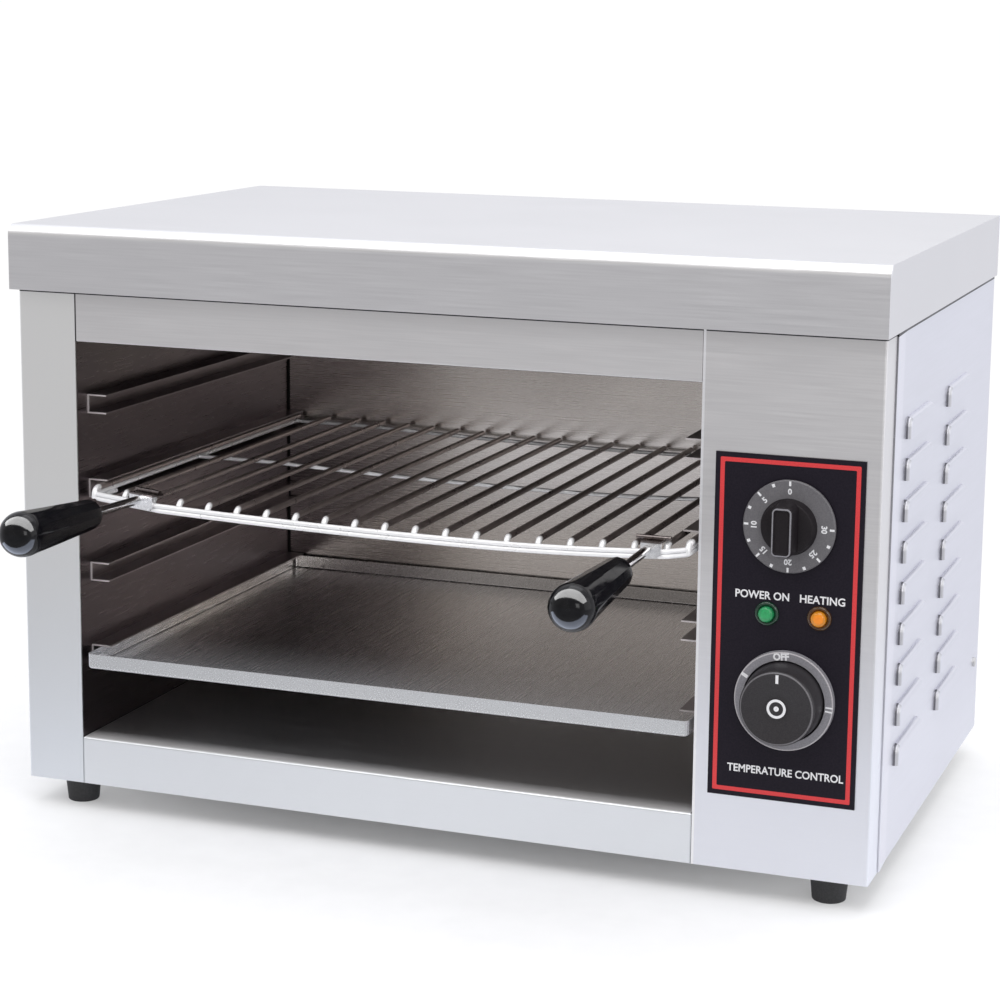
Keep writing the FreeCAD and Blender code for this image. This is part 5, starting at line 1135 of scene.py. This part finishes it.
# Painted highlight: a band of lighter grey on the cap's rounded rim.
cap_edge = turned(measured(FACE_RADIUS, STAT_DEPTH, ((-0.8, -0.8), (-0.7, -0.55), (-1.2, -0.05),
                                                     (-1.6, 0.02), (-1.8, -0.3), (-0.8, -0.8))))
piece("thermostat_cap_edge_highlight", cap_edge, stat_place, skirt_grey, "thermostat", sharp=60)
printed_bars("thermostat_pointer", [(0, 19.2 * MM, 1.9 * MM, 5.6 * MM)],
             moved_out(stat_place, STAT_DEPTH - 0.2 * MM), "thermostat")
boss_place = moved_out(stat_place, STAT_DEPTH - 0.5 * MM)
printed_ring("knob_ring_print", 4.5 * MM, 6.2 * MM, boss_place, "thermostat")
printed_ring("knob_dot_print", 0.2 * MM, 1.7 * MM, boss_place, "thermostat")
print("thermostat at", tuple(round(c, 4) for c in STAT), "cap depth", round(STAT_DEPTH, 4))

# %% [markdown]
# The ring round the cap carries OFF and three strokes. Its outer edge has a painted highlight: a thin
# turned band of pale grey.

# %% Thermostat ring's print
ring_low, ring_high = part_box("thermostat_ring")
RING_OUTER = (ring_high.x - ring_low.x) / 2
OFF_TURN = math.radians(4.5)
OFF_RADIUS = 29.2 * MM
STROKE_RADIUS = 29.6 * MM
STROKE_LENGTH = 4.6 * MM
# Each stroke: degrees to the left from the top, and its width in millimetres.
STROKES = ((60, 2.2), (-92, 1.1), (-97, 1.1))
ring_place = front_place(STAT.x, ring_low.y, STAT.z)
lettering("off_figure", "OFF", 5.0 * MM, 10.4 * MM, round_the_dial(ring_place, OFF_TURN, OFF_RADIUS),
          "case", weight=0.05)
printed_bars("thermostat_marks", [(math.radians(turn), STROKE_RADIUS, width * MM, STROKE_LENGTH)
                                  for turn, width in STROKES], ring_place, "case")
# Painted highlight: a pale band round the ring's outer edge.
ring_edge = turned(measured(RING_OUTER, 0, ((-1.2, -0.3), (-1.1, 0.06), (-0.6, 0.04), (-0.3, -0.3),
                                            (-1.2, -0.3))))
piece("thermostat_ring_edge_highlight", ring_edge, ring_place, highlight_grey, "case", sharp=60)
print("ring radius", round(RING_OUTER, 4), "strokes", len(STROKES))

# %% [markdown]
# ## The control plate's print
# A red frame runs round the black plate, a few millimetres inside its edge, and short captions name
# the lamps and the lower knob. The frame is one flat band between two outlines.

# %% Red frame and captions
PLATE_LOW, PLATE_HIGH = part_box("control_plate")
PLATE_MIDDLE = middle("control_plate")
plate_place = front_place(PLATE_MIDDLE.x, PLATE_LOW.y, PLATE_MIDDLE.z)
FRAME_OUTSIDE = 3.2 * MM
FRAME_INSIDE = 6.0 * MM
FRAME_CORNER = 0.7 * MM
plate_width = PLATE_HIGH.x - PLATE_LOW.x
plate_height = PLATE_HIGH.z - PLATE_LOW.z
outer, inner = (rounded_rectangle(plate_width - 2 * inset, plate_height - 2 * inset, FRAME_CORNER, 4)
                for inset in (FRAME_OUTSIDE, FRAME_INSIDE))
frame_levels = [(outer, 0), (outer, PRINT_THICKNESS), (inner, PRINT_THICKNESS), (inner, 0)]
piece("red_frame", skinned(frame_levels, joined=True), moved_out(plate_place, PRINT_LIFT / 2), ink_red,
      "case")

GREEN = middle("green_lamp_lens")
ORANGE = middle("orange_lamp_lens")
CAPTION_ABOVE_LAMP = 11.6 * MM
CAPTION_BELOW_KNOB = 48.0 * MM
CAPTION_HEIGHT = 5.3 * MM
# Each caption: name, words, x, z and width.
CAPTIONS = (("power_caption", "POWER ON", GREEN.x - 3.5 * MM, GREEN.z + CAPTION_ABOVE_LAMP, 35 * MM),
            ("heat_caption", "HEATING", ORANGE.x + 1.5 * MM, ORANGE.z + CAPTION_ABOVE_LAMP, 29 * MM),
            ("temperature_caption", "TEMPERATURE CONTROL", STAT.x + 1.5 * MM, STAT.z - CAPTION_BELOW_KNOB,
             76 * MM))
for name, words, x, z, width in CAPTIONS:
    lettering(name, words, CAPTION_HEIGHT, width, front_place(x, PLATE_LOW.y, z), "case",
              weight=0.022)
print("plate", round(plate_width, 4), "by", round(plate_height, 4), "captions", len(CAPTIONS))

# %% [markdown]
# ## Lamp lenses
# Each pilot lamp has a coloured cap on a thin flange, all of one plastic. A lens looks deep because
# light enters its rim and leaves at its crown. Here that is painted: the flange in a darker copy of the
# plastic, painted shade, and a brighter, glowing core just under the surface of each cap, painted light.


# %% Lamp lenses
def lamp_lens(colour, rim_finish, cap_finish, core_finish):
    """A lamp's flange, its cap and the core inside, in place of the plain solid."""
    low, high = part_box(colour + "_lamp_lens")
    centre = (low + high) / 2
    flange = (high.x - low.x) / 2
    rise = PLATE_LOW.y - low.y
    place = front_place(centre.x, PLATE_LOW.y, centre.z)
    rim = (measured(0, 0, ((0, -2), (4.7, -2), (4.7, 0.02)))
           + measured(flange, 0, ((-0.2, 0.02), (0, 0.3), (-0.2, 1.2), (-0.7, 1.8), (-1.4, 2), (-2.1, 1.8)))
           + measured(0, 0, ((5.4, 1.3), (4, 1.2), (0, 1.2))))
    piece(colour + "_lens_rim", turned(rim, 64), place, rim_finish, "case",
          stands_for=(colour + "_lamp_lens",), sharp=60)
    cap = (measured(0, 0, ((0, 1), (4.8, 1), (5, 1.4)))
           + measured(0, rise, ((4.9, -1.6), (4.5, -0.7), (3.7, -0.2), (2.2, 0), (0, 0))))
    piece(colour + "_lens_cap", turned(cap, 64), place, cap_finish, "case", sharp=60)
    core = (measured(0, 0, ((0, 2.4), (2.6, 2.4), (3, 2.8)))
            + measured(0, rise, ((2.8, -1.4), (2, -0.9), (0, -0.8))))
    piece(colour + "_lens_core", turned(core, 48), place, core_finish, "case", sharp=60)


lamp_lens("green", shaded_rim_green, lens_green, glowing_core_green)
lamp_lens("orange", shaded_rim_orange, lens_orange, glowing_core_orange)
print("lamps at", round(GREEN.x, 4), round(ORANGE.x, 4))

# %% [markdown]
# ## The grips
# The handles are moulded black grips, narrow at the wire and wide at the domed end. Near the wire twelve
# flats run along them, and they fade into a round shoulder. A ring of points whose radius swings
# between that of a circle and that of a twelve-sided one gives both, and the share of each changes
# along the length. The axis is read from the wire shank that the grip sits on: the points of a long thin
# solid spread most along its axis, and pulling a guessed direction towards them a few times finds it.


# %% The line of a shank
def line_of(node_name):
    """Start, direction and length of a straight round solid: along its longest spread, forwards."""
    spots = [vertex.co for vertex in frame["nodes"][node_name].data.vertices]
    centre = sum(spots, Vector()) / len(spots)
    direction = Vector((0, -1, 0))
    for _ in range(20):
        pulled = sum(((spot - centre) * (spot - centre).dot(direction) for spot in spots), Vector())
        direction = pulled.normalized()
    reaches = [(spot - centre).dot(direction) for spot in spots]
    return centre + direction * min(reaches), direction, max(reaches) - min(reaches)


print("left shank runs along", tuple(round(c, 3) for c in line_of("left_handle_shank")[1]))

# %% [markdown]
# The grip itself is a stack of such rings: a rounded mouth at the wire, a straight taper that loses its
# flats, and a dome.

# %% Faceted grips
GRIP_SMALL = 10.3 * MM
GRIP_LARGE = 14.8 * MM
GRIP_LENGTH = 94.5 * MM
GRIP_FLATS = 12
GRIP_STEPS = 120
GRIP_STRETCHES = 24
TAPER_START = 2.6 * MM
SHOULDER = 80.5 * MM
SHANK_SOCKET = 19 * MM
DOME = 14 * MM
DOME_TURNS = 14


def grip_outline(radius, flats):
    """A ring between a circle and a twelve-sided one by the share of flats, or the tip's one point."""
    half_flat = math.pi / GRIP_FLATS
    points = []
    for x, y in circle(radius, GRIP_STEPS):
        turn = math.atan2(y, x) % (2 * math.pi)
        within = turn % (2 * half_flat) - half_flat
        share = 1 - flats + flats * math.cos(half_flat) / math.cos(within)
        points.append((x * share, y * share))
    return points


def grip_levels():
    """Outlines along a grip, from the wire to the dome's tip."""
    rings = [(0, 4.0 * MM, 0.0), (0, GRIP_SMALL - 2.4 * MM, 0.2), (0.4 * MM, GRIP_SMALL - 1.0 * MM, 0.6),
             (1.4 * MM, GRIP_SMALL - 0.2 * MM, 0.9)]
    for step in range(GRIP_STRETCHES + 1):
        share = step / GRIP_STRETCHES
        rings.append((TAPER_START + share * (SHOULDER - TAPER_START),
                      GRIP_SMALL + share * (GRIP_LARGE - GRIP_SMALL), 1.0 - 0.85 * share ** 3))
    for step in range(1, DOME_TURNS):
        turn = math.pi / 2 * step / DOME_TURNS
        rings.append((SHOULDER + DOME * math.sin(turn), GRIP_LARGE * math.cos(turn) ** 0.8,
                      0.15 * (1 - step / DOME_TURNS)))
    rings.append((GRIP_LENGTH, 0, 0))
    return [(grip_outline(radius, flats), height) for height, radius, flats in rings]


for side in ("left", "right"):
    start, direction, length = line_of(side + "_handle_shank")
    grip_place = (Matrix.Translation(start + direction * (length - SHANK_SOCKET))
                  @ direction.to_track_quat("Z", "Y").to_matrix().to_4x4())
    piece(side + "_grip_moulding", skinned(grip_levels()), grip_place, grip_black, "rack",
          stands_for=(side + "_grip",), sharp=25)
    print(side, "grip along", tuple(round(c, 3) for c in direction), "shank", round(length, 4))

# %% [markdown]
# Gloss black shows light only where it mirrors a lamp, so a picture taker gives such a grip lamps of its
# own: a wide one overhead draws the white arc on each domed end, and one from below the table's edge the
# bluish arc under it. Blender can link a lamp to a few pieces, so that these two leave the steel alone.
# The red frame is kept out of mirrored light, so that it leaves no red line in the gloss around it.

# %% Light the grips
grip_group = bpy.data.collections.new("grips_lit")
for side in ("left", "right"):
    grip_group.objects.link(bpy.data.objects[side + "_grip_moulding"])
arc_above = soft_panel("grip_panel_above", (-0.1, -0.45, 0.80), (-0.1, -0.40, 0.2), 3.0, 0.62, 110)
arc_below = soft_panel("grip_panel_below", (-0.05, -0.42, -0.25), (-0.05, -0.38, 0.2), 2.4, 0.5, 26)
arc_below.data.color = (0.72, 0.8, 1.0)
for panel in (arc_above, arc_below):
    panel.visible_diffuse = False
    panel.light_linking.receiver_collection = grip_group
    panel.light_linking.blocker_collection = grip_group
bpy.data.objects["red_frame"].visible_glossy = False

# %% [markdown]
# ## The cavity's corners
# Where the walls meet the rear sheet, a narrow gap and years of smoke leave a dark line: partly soot,
# partly the gap's shade, painted. A thin dark strip in each rear corner, an L in section, stands for it.

# %% Corner seams
# Painted shade and soot: a near-black finish for the strips in the rear corners.
shade_and_soot = moulded("corner_shade_and_soot", (0.020, 0.017, 0.017), (0.011, 0.010, 0.010), 0.6, 600, 0.04, 0.2)
WALL_LOW, WALL_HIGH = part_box("inner_back_wall")
SEAM_FOOT = WALL_LOW.z + 22 * MM
SEAM_TOP = WALL_HIGH.z - 4 * MM
SEAM_CLEAR = 0.05
SEAM_SECTION = ((0, 0), (1.6, 0), (1.6, 0.35), (0.35, 0.35), (0.35, 1.6), (0, 1.6))


def upright_strip(name, section, low, high, finish_used):
    """A section drawn upwards from one height to another, as a piece of the case."""
    strip = skinned([(section, low), (section, high)], capped=True)
    return piece(name, strip, Matrix(), finish_used, "case")


for name, corner_x, inwards in (("left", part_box("inner_left_wall")[1].x, 1),
                                ("right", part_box("partition_wall")[0].x, -1)):
    section = measured(corner_x, WALL_LOW.y, [(inwards * (x + SEAM_CLEAR), -y - SEAM_CLEAR)
                                              for x, y in SEAM_SECTION])
    upright_strip(name + "_corner_seam", section, SEAM_FOOT, SEAM_TOP, shade_and_soot)
print("seams from z", round(SEAM_FOOT, 3), "to", round(SEAM_TOP, 3))

# %% [markdown]
# The right side sheet lies over the folded edge of the control panel. Its front edge, seen as a dark
# upright line, is a long wedge: as thick as the sheet in front and flush with the side behind. The
# wedge's front face is painted dark, a painted shade that grows darker higher up.

# %% Side sheet's front edge
SIDE_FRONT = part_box("right_side_panel")[0]
EDGE_FOOT = SIDE_FRONT.z + 0.3 * MM
EDGE_TOP = LID_LOW.z - 0.5 * MM
EDGE_SECTION = ((0.05, 0), (0.95, 0), (1.05, 0.2), (1.05, 1.2), (0.05, 32))
edge_shade_finish, tree = own_finish("side_sheet_edge_finish", "right_side_panel")
front_face = fade(tree, "Y", 1.0, 0.0, SIDE_FRONT.y + 0.05 * MM, SIDE_FRONT.y + 0.25 * MM)
# Painted shade on the edge's front face, darker higher up.
toned(tree, GAP_AND_SHADOW_DARK, product(tree, front_face, fade(tree, "Z", 0.1, 0.68, 0.08, 0.36)))
upright_strip("side_sheet_edge", measured(SIDE_FACE, SIDE_FRONT.y, EDGE_SECTION), EDGE_FOOT, EDGE_TOP,
              edge_shade_finish)
print("side sheet's edge up to z", round(EDGE_TOP, 4))
